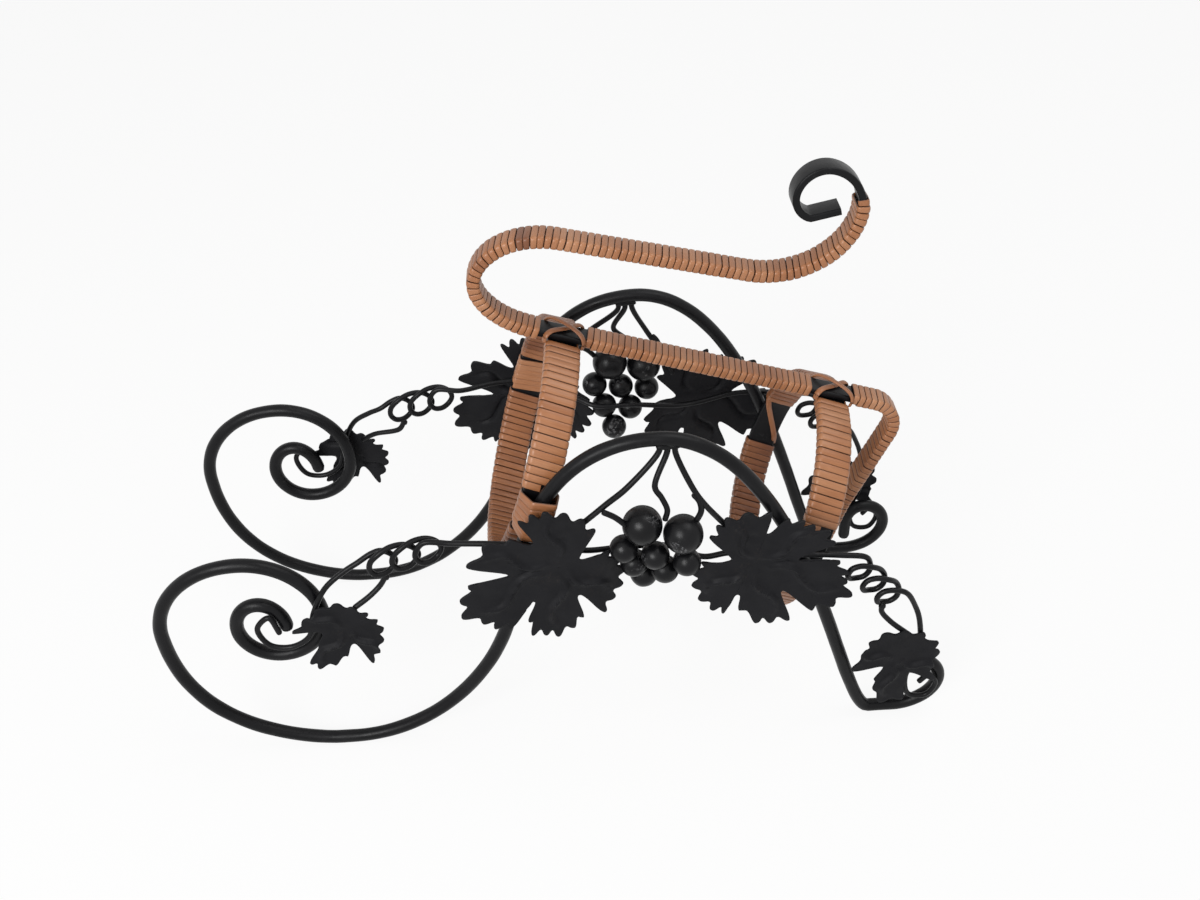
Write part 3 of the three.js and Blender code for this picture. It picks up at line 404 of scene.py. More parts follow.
framePath, bends = sideFramePath()
for side, y in (("left", -frameY), ("right", frameY)):
    shifted = measured([p + across * y for p in framePath["points"]])
    rings = roundRod(shifted, rodRadius, sides=24, ripple=0.12, seed=y)
    addPiece(side + "_scrolled_rod", skinMesh(side + "_scrolled_rod", rings), satinIron,
             [side + "_side_frame"])
print("side frames bent")


# Hoops and the bottle's slope: along runs from the front hoop to the rear one, rise is square to it
hoops = {"frontHeight": 130.5, "rearHeight": 94.1, "tall": 106.0}


def legAt(rear, height):
    # where a leg of the arch has this height
    points = framePath["points"]
    crown = max(range(len(points)), key=lambda i: points[i].z)
    leg = points[crown:] if rear else points[crown:0:-1]
    return next(p for p in leg if p.z <= height)


frontCentre = legAt(False, hoops["frontHeight"])
rearCentre = legAt(True, hoops["rearHeight"])
hoopSpacing = (rearCentre - frontCentre).length
along = (rearCentre - frontCentre).normalized()
rise = along.cross(across)
hoopHalfTall = hoops["tall"] / 2
hoopHalfWide = frameY - rodRadius - iron["weldGap"] - iron["hoopThick"] / 2
barRise = hoopHalfTall + (iron["hoopThick"] + iron["barThick"]) / 2 + iron["weldGap"]


def hoopStation(centre, s):
    angle = s / hoopHalfTall
    point = centre - across * (hoopHalfWide * math.sin(angle)) + rise * (hoopHalfTall * math.cos(angle))
    way = (across * (-hoopHalfWide * math.cos(angle)) + rise * (-hoopHalfTall * math.sin(angle))).normalized()
    return point, way, -along


def hoopArc(degrees):
    return math.radians(degrees) * hoopHalfTall


def roundedBar(width, thick, corner, steps=4):
    # outline of a flat bar with eased edges, as (place, outward) pairs, starting below the middle
    w, t = width / 2 - corner, thick / 2 - corner
    outline = [((0.0, -thick / 2), (0.0, -1.0))]
    for cx, cy, start in ((w, -t, -90), (w, t, 0), (-w, t, 90), (-w, -t, 180)):
        for i in range(steps + 1):
            a = math.radians(start + 90 * i / steps)
            out = (math.cos(a), math.sin(a))
            outline.append(((cx + corner * out[0], cy + corner * out[1]), out))
        if start == 0:
            outline.append(((0.0, thick / 2), (0.0, 1.0)))
    return outline


def beside(station, x, y):
    point, way, sideways = station
    return point + sideways * x + way.cross(sideways) * y


def barRings(stations, outline):
    return [[beside(station, *place) for place, _ in outline] for station in stations]


hoopOutline = roundedBar(iron["hoopWidth"], iron["hoopThick"], corner=0.7)
for name, centre in (("front_hoop", frontCentre), ("rear_hoop", rearCentre)):
    count = 160
    stations = [hoopStation(centre, hoopArc(360 * i / count)) for i in range(count)]
    addPiece(name + "_bar", skinMesh(name + "_bar", barRings(stations, hoopOutline), closed=True), satinIron,
             [name])
print("hoops rolled")


# Handle bar in the middle plane, measured along the bottle and square to it from the front hoop's top
handle = {
    "gripFront": -14.0, "gripFrontRise": 41.8, "gripRear": 64.0, "gripRearRise": 47.0,
    "bendReach": 42.3, "bendRise": 18.5, "bendFlat": 1.5,
    "hookReach": 99.0, "hookReachRise": 80.0, "hookTop": 82.0, "hookTopRise": 98.0, "hookWidth": 28.6,
    "hookInnerRise": 86.0, "hookFloorRise": 76.8, "hookFloorSetback": 9.0, "hookTipSetback": 9.0,
    "hookTipLift": 6.0, "stopOffset": 28.5, "stopOverhang": 6.0, "stopCorner": 14.0, "bareHalf": 11.4,
    "bareHook": 62.0,
}
barOrigin = frontCentre + rise * barRise


def onBar(n, u):
    return (barOrigin + along * n + rise * u).xz


def gripPath():
    h = handle
    inner = h["hookReach"] - h["hookWidth"]
    slope = (h["gripRearRise"] - h["gripFrontRise"]) / (h["gripRear"] - h["gripFront"])
    hookCorner = h["gripRearRise"] + slope * (h["hookReach"] - h["gripRear"])
    bendCorner = h["gripFrontRise"] - slope * (h["bendReach"] + h["gripFront"])
    return bentPath(onBar(h["hookReach"] - h["hookTipSetback"], h["hookFloorRise"] + h["hookTipLift"]), [
        ("line", onBar(inner + h["hookFloorSetback"], h["hookFloorRise"])),
        ("round", onBar(inner, h["hookFloorRise"]), onBar(inner, h["hookInnerRise"])),
        ("round", onBar(inner, h["hookTopRise"]), onBar(h["hookTop"], h["hookTopRise"])),
        ("round", onBar(h["hookReach"], h["hookTopRise"]), onBar(h["hookReach"], h["hookReachRise"])),
        ("round", onBar(h["hookReach"], hookCorner), onBar(h["gripRear"], h["gripRearRise"])),
        ("line", onBar(h["gripFront"], h["gripFrontRise"])),
        ("round", onBar(-h["bendReach"], bendCorner), onBar(-h["bendReach"], h["bendRise"])),
        ("round", onBar(-h["bendReach"], 0), onBar(-h["bareHalf"] - h["bendFlat"], 0)),
    ])


def stopPath():
    h = handle
    stop = hoopSpacing + h["stopOffset"]
    over = stop + h["stopOverhang"]
    under = -2 * barRise
    corner = h["stopCorner"]
    return bentPath(onBar(hoopSpacing + h["bareHalf"], 0), [
        ("line", onBar(over - corner, 0)),
        ("round", onBar(over, 0), onBar(over - h["stopOverhang"] / 4, -corner)),
        ("line", onBar(stop, -barRise)),
        ("line", onBar(stop, under + corner)),
        ("round", onBar(stop, under), onBar(stop - corner, under)),
        ("line", onBar(hoopSpacing - iron["hoopWidth"] / 2, under)),
    ])


grip = gripPath()
topBar = bentPath(onBar(-handle["bareHalf"] - handle["bendFlat"], 0),
                  [("line", onBar(hoopSpacing + handle["bareHalf"], 0))])
backStop = stopPath()


def stationOn(path):
    def place(s):
        point, way = placeAt(path, s)
        return point, way, across
    return place


barOutline = roundedBar(iron["barWidth"], iron["barThick"], corner=0.8)
whole = measured(grip["points"] + topBar["points"][1:] + backStop["points"][1:])
barStep = 1.2
stations = [stationOn(whole)(i * barStep) for i in range(int(whole["total"] / barStep) + 1)]
addPiece("bent_handle_bar", skinMesh("bent_handle_bar", barRings(stations, barOutline)), satinIron,
         ["handle_bar"])
print("handle bar bent")


def caneSection(thick, dome):
    # across the strip as (share of the width, height): flat below, crowned above with soft edges
    rows = [(-0.5, 0.2), (-0.475, 0.66), (-0.4, 0.9), (-0.2, 0.97), (0.0, 1.0), (0.2, 0.97), (0.4, 0.9),
            (0.475, 0.66), (0.5, 0.2)]
    section = [(u, thick * (h - dome * (2 * u) ** 2 * 0.5)) for u, h in rows]
    return section + [(0.3, -0.05), (-0.3, -0.05)]


def caneWinding(name, place, start, end, outline, replaced, dark=(), dome=winding["dome"], stainAndShade=0.0,
                pitch=winding["pitch"]):
    # place gives the bar's station at a distance along it; dark lists shares of the turns that are dark
    turns = max(2, round((end - start) / pitch))
    step = (end - start) / turns
    width = step * winding["cover"]
    section = caneSection(winding["thick"], dome)
    rings, uvs, tones = [], [], []
    travelled = 0.0
    spans = []
    for (p, _), (q, _) in zip(outline, outline[1:] + outline[:1]):
        spans.append(math.hypot(q[0] - p[0], q[1] - p[1]))
    girth = sum(spans)
    wander = [rng.uniform(-1, 1) * winding["wander"] for _ in range(turns + 2)]
    lifts = [rng.uniform(0, 1) * winding["lift"] for _ in range(turns + 2)]
    # stainAndShade darkens every turn: partly the cane's own darker tone, partly painted shade
    shades = [rng.uniform(*winding["shade"]) - stainAndShade for _ in range(turns + 2)]
    for first, last in dark:
        for k in range(int(first * turns), int(last * turns) + 1):
            shades[k] = rng.uniform(*winding["darkShade"])
    for turn in range(turns):
        for i, (at, out) in enumerate(outline):
            done = travelled / girth
            k, part = int(done), done - int(done)
            shift, lift, tone = [row[k] * (1 - part) + row[k + 1] * part for row in (wander, lifts, shades)]
            s = start + step * (0.5 + done * (turns - 1) / turns) + shift * step
            tuck = min(1.0, winding["tuckedTurns"] * min(done, turns - done) + winding["tuckedHeight"])
            ring = []
            for u, h in section:
                high = (h + lift) * tuck
                ring.append(beside(place(s + u * width), at[0] + out[0] * high, at[1] + out[1] * high))
                uvs.append((travelled * mm, u))
                tones.append(tone)
            rings.append(ring)
            travelled += spans[i]
    data = skinMesh(name, rings, uvs=uvs, tones=tones)
    addPiece(name, data, rattan, replaced, smoothAngle=60)


# the cane's seats, a little wider and thicker than the bars
handleWrap = roundedBar(iron["barWidth"] + 0.1, iron["barThick"] + 1.0, corner=0.8)[::-1]
hoopWrap = roundedBar(iron["hoopWidth"] + 0.6, iron["hoopThick"] + 0.6, corner=1.0)[::-1]
# degrees from a hoop's top, where the first turn begins under the bar, and from its foot, clear of the stop
topClear = math.degrees(math.asin(iron["barWidth"] / 3 / hoopHalfWide))
lowClear = math.degrees(math.asin((iron["barWidth"] / 2 + 2.6) / hoopHalfWide))
wraps = {"frontUpperEnd": 78.8, "frontLowerStart": 98, "rearUpperEnd": 74, "rearLowerStart": 99,
         "collarFrom": 76.6, "collarTo": 99, "bareHalf": 8.6, "stopBare": 1.8}

frontCrossing = grip["total"] + handle["bareHalf"] + handle["bendFlat"]
rearCrossing = frontCrossing + hoopSpacing
bare = wraps["bareHalf"]
onHandle = stationOn(whole)
stopEnd = whole["total"] - iron["hoopWidth"] - wraps["stopBare"]
caneWinding("grip_cane", onHandle, handle["bareHook"], frontCrossing - bare, handleWrap, ["grip_winding"],
            dark=[(0.69, 0.71)])
caneWinding("top_bar_cane", onHandle, frontCrossing + bare, rearCrossing - bare, handleWrap, ["top_winding"])
caneWinding("back_stop_cane", onHandle, rearCrossing + bare, stopEnd, handleWrap, ["back_stop_winding"])
# each winding from and to an angle round its hoop, and how much darker its cane is drawn: partly the cane's
# own darker tone, partly painted shade, most on the hoops' far, right-hand half
hoopPlans = [
    ("front_hoop_left", frontCentre, topClear, wraps["frontUpperEnd"], 0.0),
    ("front_hoop_right", frontCentre, 360 - wraps["frontUpperEnd"], 360 - topClear, 0.3),
    ("front_hoop_lower", frontCentre, wraps["frontLowerStart"], 360 - wraps["frontLowerStart"], 0.3),
    ("rear_hoop_left", rearCentre, topClear, wraps["rearUpperEnd"], 0.0),
    ("rear_hoop_right", rearCentre, 360 - wraps["rearUpperEnd"], 360 - topClear, 0.3),
    ("rear_hoop_lower_left", rearCentre, wraps["rearLowerStart"], 180 - lowClear, 0.1),
    ("rear_hoop_lower_right", rearCentre, 180 + lowClear, 360 - wraps["rearLowerStart"], 0.4),
]
for name, centre, begin, finish, stainAndShade in hoopPlans:
    caneWinding(name + "_cane", lambda s, c=centre: hoopStation(c, s), hoopArc(begin), hoopArc(finish),
                hoopWrap, [name + "_winding"], dome=0.15, stainAndShade=stainAndShade, pitch=winding["hoopPitch"])
print("cane wound")


# Collars: cane round the front hoop and the arch rod that lies along it and leans towards the back
collar = {"side": 0.2, "face": 0.3, "overRod": 1.0, "lean": 2.6, "soft": 0.8}


def collarOutline():
    w, t = iron["hoopWidth"] / 2 + collar["side"], iron["hoopThick"] / 2 + collar["face"]
    outer = (frameY + rodRadius) / math.sin(math.radians(wraps["collarFrom"])) - hoopHalfWide + collar["side"]
    r, lean = rodRadius + collar["overRod"], collar["lean"]
    corners = [(w, t), (-w, t), (-w - lean / 2, -t), (-r - lean, -outer), (r - lean / 2, -outer), (w, -t)]
    corners = [Vector(corner) for corner in corners]
    outline = []
    for i, here in enumerate(corners):
        before, after = corners[i - 1], corners[(i + 1) % len(corners)]
        a = here + (before - here).normalized() * collar["soft"]
        b = here + (after - here).normalized() * collar["soft"]
        arrives = Vector((here.y - before.y, before.x - here.x)).normalized()
        departs = Vector((after.y - here.y, here.x - after.x)).normalized()
        for k in range(4):
            f = k / 3
            p = a * (1 - f) ** 2 + here * 2 * f * (1 - f) + b * f * f
            out = (arrives * (1 - f) + departs * f).normalized()
            if out.dot(p) < 0:
                out = -out
            outline.append(((p.x, p.y), (out.x, out.y)))
    return outline


collarPlans = [("front_left_collar", wraps["collarFrom"], wraps["collarTo"]),
               ("front_right_collar", 360 - wraps["collarTo"], 360 - wraps["collarFrom"])]
for name, begin, finish in collarPlans:
    caneWinding(name + "_cane", lambda s: hoopStation(frontCentre, s), hoopArc(begin), hoopArc(finish),
                collarOutline(), [name], dome=0.4, pitch=winding["hoopPitch"])


# Lashings: two strands crossed over the bar where it lies on each hoop
lashing = {"width": 2.6, "thick": 1.2, "leg": 8.2, "tone": 0.32, "seat": 0.3, "clear": 1.2, "foot": -2.2,
           "knee": 0.6, "crossing": 2.1, "sides": 12, "step": 0.6, "edgeShare": 0.8}


def caneStrand(name, points, facing, replaced=()):
    # a flat strand of cane along a route, its flat side towards facing
    path = smoothThrough(points, spacing=0.5)
    rings, uvs, tones = [], [], []
    count = int(path["total"] / lashing["step"])
    for i in range(count + 1):
        s = path["total"] * i / count
        point, way = placeAt(path, s)
        flatwise = way.cross(facing).normalized()
        out = flatwise.cross(way).normalized()
        ring = []
        for k in range(lashing["sides"]):
            a = 2 * math.pi * k / lashing["sides"]
            u = math.cos(a) / 2
            height = math.sin(a) * lashing["thick"] / 2
            ring.append(point + flatwise * u * lashing["width"] + out * height)
            # edgeShare keeps the strand's edges short of the cane's painted edge shade
            uvs.append((s * mm, u * lashing["edgeShare"]))
            tones.append(lashing["tone"])
        rings.append(ring)
    data = skinMesh(name, rings, uvs=uvs, tones=tones)
    addPiece(name, data, rattan, replaced, smoothAngle=60)


def crossedStrand(name, n, sign, lift, replaced):
    top = iron["barThick"] / 2 + lashing["seat"] + lashing["thick"] / 2
    sideways = iron["barWidth"] / 2 + lashing["clear"]
    half = [(1, lashing["foot"]), (1, lashing["knee"]), (0.8, top + lift / 3)]
    route = [(-f, u) for f, u in half] + [(0, top + lift)] + half[::-1]
    points = []
    for f, u in route:
        flat = onBar(n + f * lashing["leg"], u)
        points.append(Vector((flat.x, sign * f * sideways, flat.y)))
    caneStrand(name, points, rise, [replaced])


for end, n in (("front", 0.0), ("rear", hoopSpacing)):
    crossedStrand(end + "_lower_strand", n, 1, 0.0, end + "_lashing_under")
    crossedStrand(end + "_upper_strand", n, -1, lashing["crossing"], end + "_lashing_over")

# where the rear hoop's bar is bare, one strand runs slantwise over it to the next winding
slant = {"from": 70, "to": 101, "lift": 2.2}
for side, turn in (("left", 1), ("right", -1)):
    points = []
    for k, share in enumerate((0.5, 0.38, 0.2, 0.0, -0.2, -0.38, -0.5)):
        degrees = slant["from"] + (slant["to"] - slant["from"]) * k / 6
        inner = slant["lift"] if 0 < k < 6 else 0.0
        station = hoopStation(rearCentre, turn * hoopArc(degrees))
        points.append(beside(station, share * iron["hoopWidth"], inner))
    caneStrand("rear_" + side + "_slant_strand", points, across)
print("lashings tied")


# Vine ornament: distances from the crown of the arch and heights above the floor; the right side's
# was welded on a little further forward
vine = {
    "vineDrop": 3.0, "vineTuck": 3.5, "clusterRise": 16.5, "clusterOut": 6.5,
    "curlLength": 7.7, "curlDepth": 6.0, "curlLean": 2.05, "curlSnap": 2.2, "curlSteps": 28,
    "frontCurls": (-95.3, 116.3), "frontRun": (-19.6, -5.3), "rearCurls": (86.6, 94.7),
    "rearRun": (14.0, -15.2),
    "stemX": 4.0, "stemSpacing": 3.2, "stemReach": 40, "frontLeafDrop": 19.0, "rearLeafRise": 11.0,
}
sideShift = {
    "left": {"hand": 1, "grapes": 0, "stems": 0, "front": 0, "rear": 0},
    "right": {"hand": -1, "grapes": -6, "stems": -9, "front": -8, "rear": -11},
}
vineMiddle = (frontCentre.z + rearCentre.z) / 2 - vine["vineDrop"]
clusterHeight = vineMiddle + vine["clusterRise"]
frontLeafHeight = frontCentre.z - vine["frontLeafDrop"]
rearLeafHeight = rearCentre.z + vine["rearLeafRise"]


# Vine leaves: sheet cut with shears, each lobe as the tips of its teeth and the slit after it,
# both as (degrees, reach) round the point where the veins meet; pose is how far out, yaw and spin
leaves = {
    "front_large_leaf": {"place": (-41.0, frontLeafHeight), "shift": "front", "pose": (1.7, 5.4, 2.0),
        "turned": False, "lobes": [
        ([(51, 23), (69, 26), (86, 28.5), (101, 30.5), (111, 31), (122, 30.5)], (129, 17.5)),
        ([(140, 26), (153, 34), (172, 38)], (186, 21.5)),
        ([(189, 38), (198, 43.5), (209, 47), (220, 42.5), (228, 41.5), (236, 38)], (239, 21.5)),
        ([(245, 31.5), (251, 38), (260, 37.5), (268, 39), (279, 36), (288, 31)], (295, 19)),
        ([(304, 33.5), (316, 32), (327, 31.5), (342, 29.5), (355, 26), (373, 21)], (380, 9)),
    ]},
    "rear_large_leaf": {"place": (40.5, rearLeafHeight), "shift": "rear", "pose": (-1.0, -4.0, -1.5),
        "turned": True, "lobes": [
        ([(37, 23), (53, 25.5), (63, 27), (82, 27), (104, 27)], (108, 16)),
        ([(120, 26), (132, 29), (140, 30.5), (151, 34), (164, 34)], (177, 18.5)),
        ([(181, 35), (190, 39.5), (197, 40.5), (205, 45.5), (216, 42), (228, 37)], (235, 21)),
        ([(245, 36.5), (258, 35.5), (267, 34.5), (283, 27)], (290, 19.5)),
        ([(295, 30.5), (304, 31.5), (315, 32), (328, 30), (342, 27), (357, 21.5)], (370, 10)),
    ]},
    "front_small_leaf": {"place": (-133.0, 80.0), "shift": "front", "pose": (0, 0, 0),
        "turned": False, "lobes": [
        ([(36, 12), (70, 12), (99, 14.5), (130, 16), (163, 18.5), (180, 22.5)], (189, 11)),
        ([(211, 15), (225, 25), (234, 25), (248, 20.5), (263, 15)], (281, 9)),
        ([(292, 21.5), (310, 18), (331, 16), (356, 15), (377, 13.5)], (392, 10.5)),
    ]},
    "rear_small_leaf": {"place": (107.0, 41.0), "shift": None, "pose": (0, 0, 0),
        "turned": False, "lobes": [
        ([(51, 18.5), (80, 17), (111, 18), (136, 17), (159, 16), (196, 19.5)], (221, 7)),
        ([(236, 14.5), (246, 20), (260, 27), (283, 27), (292, 17)], (306, 12)),
        ([(323, 24), (341, 18), (367, 19.5), (388, 20)], (402, 17)),
    ]},
}
press = {"toothCut": 0.075, "toothPoint": 0.8, "toothRound": 0.16, "endTooth": 8, "slitWidth": 2.6,
         "cornerCut": 0.22, "vein": 1.7, "veinWidth": 1.2, "veinFrom": 0.16, "veinTo": 0.82, "veinBow": 0.085,
         "veinSteps": 12, "veinEnd": 0.04, "cup": 1.5, "buckle": 1.8, "buckleSize": 20.0, "spot": 2.1,
         "spotDepth": 0.55, "rings": 26, "tuckFrom": 17.0, "tuck": 0.4}
# weld spots as shares of the leaf's reach: two on a large leaf, one on a small one
weldSpots = {True: ((0.02, 0.3), (-0.3, -0.02)), False: ((0.1, -0.2),)}
largeLeaf = 40.0


def leafEdge(lobes):
    # round teeth with narrow cuts between them, and slits with a round end
    longest = max(reach for tips, _ in lobes for _, reach in tips)
    cut = press["toothCut"] * longest
    corners = []
    for tips, (slitAt, slitReach) in lobes:
        for k, (degrees, reach) in enumerate(tips):
            before = degrees - tips[k - 1][0] if k else press["endTooth"]
            after = tips[k + 1][0] - degrees if k + 1 < len(tips) else press["endTooth"]
            if k:
                corners.append((degrees - before / 2, (reach + tips[k - 1][1]) / 2 - cut))
            corners.append((degrees - before * press["toothRound"], reach + press["toothPoint"] / 2))
            corners.append((degrees + after * press["toothRound"], reach + press["toothPoint"]))
        width = math.degrees(press["slitWidth"] / slitReach)
        corners += [(slitAt - width / 2, slitReach), (slitAt + width / 2, slitReach)]
    edge = [heading(degrees) * reach for degrees, reach in corners]
    parts = (press["cornerCut"], 1 - press["cornerCut"])
    for _ in range(2):
        edge = [here.lerp(there, part) for here, there in zip(edge, edge[1:] + edge[:1]) for part in parts]
    return edge


def leafVeins(lobes):
    # one pressed rib for each lobe, bent like an S, that stops short of the middle
    steps = press["veinSteps"]
    span = press["veinTo"] - press["veinFrom"]
    veins = []
    for i, (tips, _) in enumerate(lobes):
        degrees, reach = max(tips, key=lambda tip: tip[1])
        degrees = (degrees + (tips[0][0] + tips[-1][0]) / 2) / 2
        way = heading(degrees)
        bow = Vector((-way.y, way.x)) * reach * press["veinBow"] * (1 if i % 2 else -1)
        veins.append([way * reach * (press["veinFrom"] + span * k / steps)
                      + bow * math.sin(2 * math.pi * k / steps) for k in range(steps + 1)])
    return veins


def nearVein(veins, p):
    best = (99.0, 0.0)
    for line in veins:
        for k, (a, b) in enumerate(zip(line, line[1:])):
            ab = b - a
            t = min(max((p - a).dot(ab) / ab.length_squared, 0), 1)
            away = (a + ab * t - p).length
            if away < best[0]:
                best = (away, (k + t) / press["veinSteps"])
    return best


def leafRelief(veins, spots, p, longest, seed):
    away, share = nearVein(veins, p)
    share = min(max(share, press["veinEnd"]), 1 - press["veinEnd"])
    fade = math.sin(math.pi * share) ** 0.5
    relief = press["vein"] * fade * math.exp(-(away / press["veinWidth"]) ** 2)
    for spot in spots:
        near = (p - spot).length / press["spot"]
        relief -= press["spotDepth"] * math.exp(-near ** 4)
    edgeShare = p.length / longest
    buckle = noise.noise(Vector((p.x / press["buckleSize"], p.y / press["buckleSize"], seed)))
    return relief + press["cup"] * edgeShare ** 2 + press["buckle"] * buckle * edgeShare


def vineLeaf(side, name, plan, seed):
    edge = leafEdge(plan["lobes"])
    veins = leafVeins(plan["lobes"])
    longest = max(p.length for p in edge)
    spots = [Vector(spot) * longest for spot in weldSpots[longest > largeLeaf]]
    x = plan["place"][0] + (sideShift[side][plan["shift"]] if plan["shift"] else 0)
    out, yaw, spin = plan["pose"]
    turn = Matrix.Rotation(math.radians(yaw), 4, "Z") @ Matrix.Rotation(math.radians(spin), 4, "Y")
    place = Matrix.Translation((x, -leafY - out, plan["place"][1])) @ turn
    flip = -1 if plan["turned"] else 1
    outward = 1 if side == "left" else -1
    bm = bmesh.new()

    def vertex(p):
        lift = iron["sheet"] / 2 + leafRelief(veins, spots, p, longest, seed)
        # the inner lobe goes in behind the grapes
        lift -= press["tuck"] * max(0.0, p.x - press["tuckFrom"])
        q = place @ Vector((p.x * flip, -lift, p.y))
        return bm.verts.new(inFrame((q.x, q.y * outward, q.z)))

    centre = vertex(Vector((0, 0)))
    last = None
    for k in range(1, press["rings"] + 1):
        ring = [vertex(p * (k / press["rings"])) for p in edge]
        for i in range(len(ring)):
            j = (i + 1) % len(ring)
            if last is None:
                bm.faces.new((centre, ring[i], ring[j]))
            else:
                bm.faces.new((last[i], ring[i], ring[j], last[j]))
        last = ring
    solidName = side + "_" + name
    data = bpy.data.meshes.new(solidName)
    bm.to_mesh(data)
    bm.free()
    piece = addPiece(solidName.replace("leaf", "pressed_leaf"), data, mattSheet, [solidName])
    solid = piece.modifiers.new("sheet", "SOLIDIFY")
    solid.thickness = iron["sheet"] * mm
    solid.offset = 0.0


for side in ("left", "right"):
    for seed, (name, plan) in enumerate(leaves.items()):
        vineLeaf(side, name, plan, seed * 3.1 + (0 if side == "left" else 20))
print("leaves pressed")


# Grapes: pressed balls, each a little out of round, with the pip of the weld that holds it
grapeShape = {"unround": 0.012, "lumps": 1.6, "pip": 0.06, "pipWidth": 0.3}


def ballMesh(name, fineness, shape):
    # a ball of unit size whose points shape moves to their places
    bm = bmesh.new()
    bmesh.ops.create_icosphere(bm, subdivisions=fineness, radius=1)
    for v in bm.verts:
        v.co = shape(v.co.normalized())
    data = bpy.data.meshes.new(name)
    bm.to_mesh(data)
    bm.free()
    return data


def grape(name):
    low, high = [Vector(c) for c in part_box(name)]
    centre = (low + high) / 2
    radius = (high.z - low.z) / 2
    seed = Vector((rng.uniform(0, 50), rng.uniform(0, 50), 0))
    pip = Vector((rng.uniform(-0.6, 0.6), rng.uniform(-0.4, 0.4), -1)).normalized()

    def shape(way):
        swell = grapeShape["unround"] * noise.noise(way * grapeShape["lumps"] + seed)
        swell += grapeShape["pip"] * math.exp(-((way - pip).length / grapeShape["pipWidth"]) ** 2)
        return centre + way * radius * (1 + swell)

    data = ballMesh(name, 5, shape)
    addPiece(name.replace("grape", "ball_grape"), data, ballIron, [name])


for side in ("left", "right"):
    for i in range(1, 9):
        grape(side + "_grape_" + str(i))
print("grapes set")


# Wires bent by hand, points as (x, distance out from the middle of the stand, z)
def curls(first, run, y, lean, fromTurn, toTurn):
    step = Vector(run) / 2
    onward = step.normalized()
    upward = Vector((-onward.y, onward.x)) * (1 if onward.x > 0 else -1)
    points = []
    for i in range(vine["curlSteps"] + 1):
        turn = fromTurn + (toTurn - fromTurn) * i / vine["curlSteps"]
        t = turn * 2 * math.pi
        p = Vector(first) + step * (turn - 0.5) + onward * vine["curlLength"] * math.sin(t)
        p += upward * vine["curlDepth"] * math.cos(t)
        points.append((p.x, y + lean * math.tanh(vine["curlSnap"] * math.sin(t)), p.y))
    return points


def vineRoute(side):
    hand, shift = sideShift[side]["hand"], sideShift[side]["grapes"]
    front, rear = frontCentre.xz, rearCentre.xz
    behind = Vector((shift, vineMiddle))
    tuck = -vine["vineTuck"] / (vineY - frameY)
    lean = hand * vine["curlLean"]

    def wire(start, *offsets):
        # out 0 lies in the plane of the rods, out 1 passes them on the outer side
        return [(start.x + dx, frameY + out * (vineY - frameY), start.y + dz) for dx, dz, out in offsets]

    return (
        wire(bends["eye"], (8.4, 2, 1), (5.3, 11.5, 1), (-0.4, 6, 1), (0.6, -1, 1), (4, -5.5, 1),
             (12, -6.5, 1))
        + wire(bends["back"], (-7, -9, 1), (-2.4, 5.6, 1), (4.4, 18.5, 0.8), (12.8, 25, 0.3), (18.8, 28.3, 0),
               (24.3, 31, -hand * 0.4))
        + curls(vine["frontCurls"], vine["frontRun"], frameY, lean, 0.08, 2.88)[::-1]
        + wire(front, (-34, -9.1, hand * 0.42), (-18, -9.3, 0.7), (-4, -10, 1), (8, -13.2, 0.8),
               (22, -18.8, 0))
        + wire(behind, (-14, 0, tuck), (5, -0.6, tuck))
        + wire(rear, (-45, 10.4, 0), (-34, 11.7, 0), (-18, 13, 0.8), (-6, 12.9, 1), (13, 10.8, 1))
        + curls(vine["rearCurls"], vine["rearRun"], vineY, -lean, 0, 2.85)
        + wire(rear, (42.3, -11.3, 1 + hand * 0.42), (48.3, -21.8, 1), (51.5, -31.4, 1))
        + wire(bends["curl"], (-3, 22, 1), (-7, 6, 1), (-4, -6, 1), (4, -7, 1), (7.6, 1, 1), (3.6, 6, 1),
               (-0.4, 2, 1))
    )


def underArch(x):
    # lowest point of the arch rod over this place
    crown = [p for p in framePath["points"] if abs(p.x) < vine["stemReach"] and p.z > frontCentre.z]
    reach = x + (-wireRadius if x < 0 else wireRadius)
    return min(crown, key=lambda p: abs(p.x - reach)).z - rodRadius - 2 * iron["weldGap"]


def stemRoute(x, bendsDown, end):
    top = underArch(x)
    route = [(x, frameY, top + 1.2), (x, frameY, top - iron["wire"])]
    route += [(px, py, end[2] + (top - end[2]) * share) for px, py, share in bendsDown]
    return route + [end]


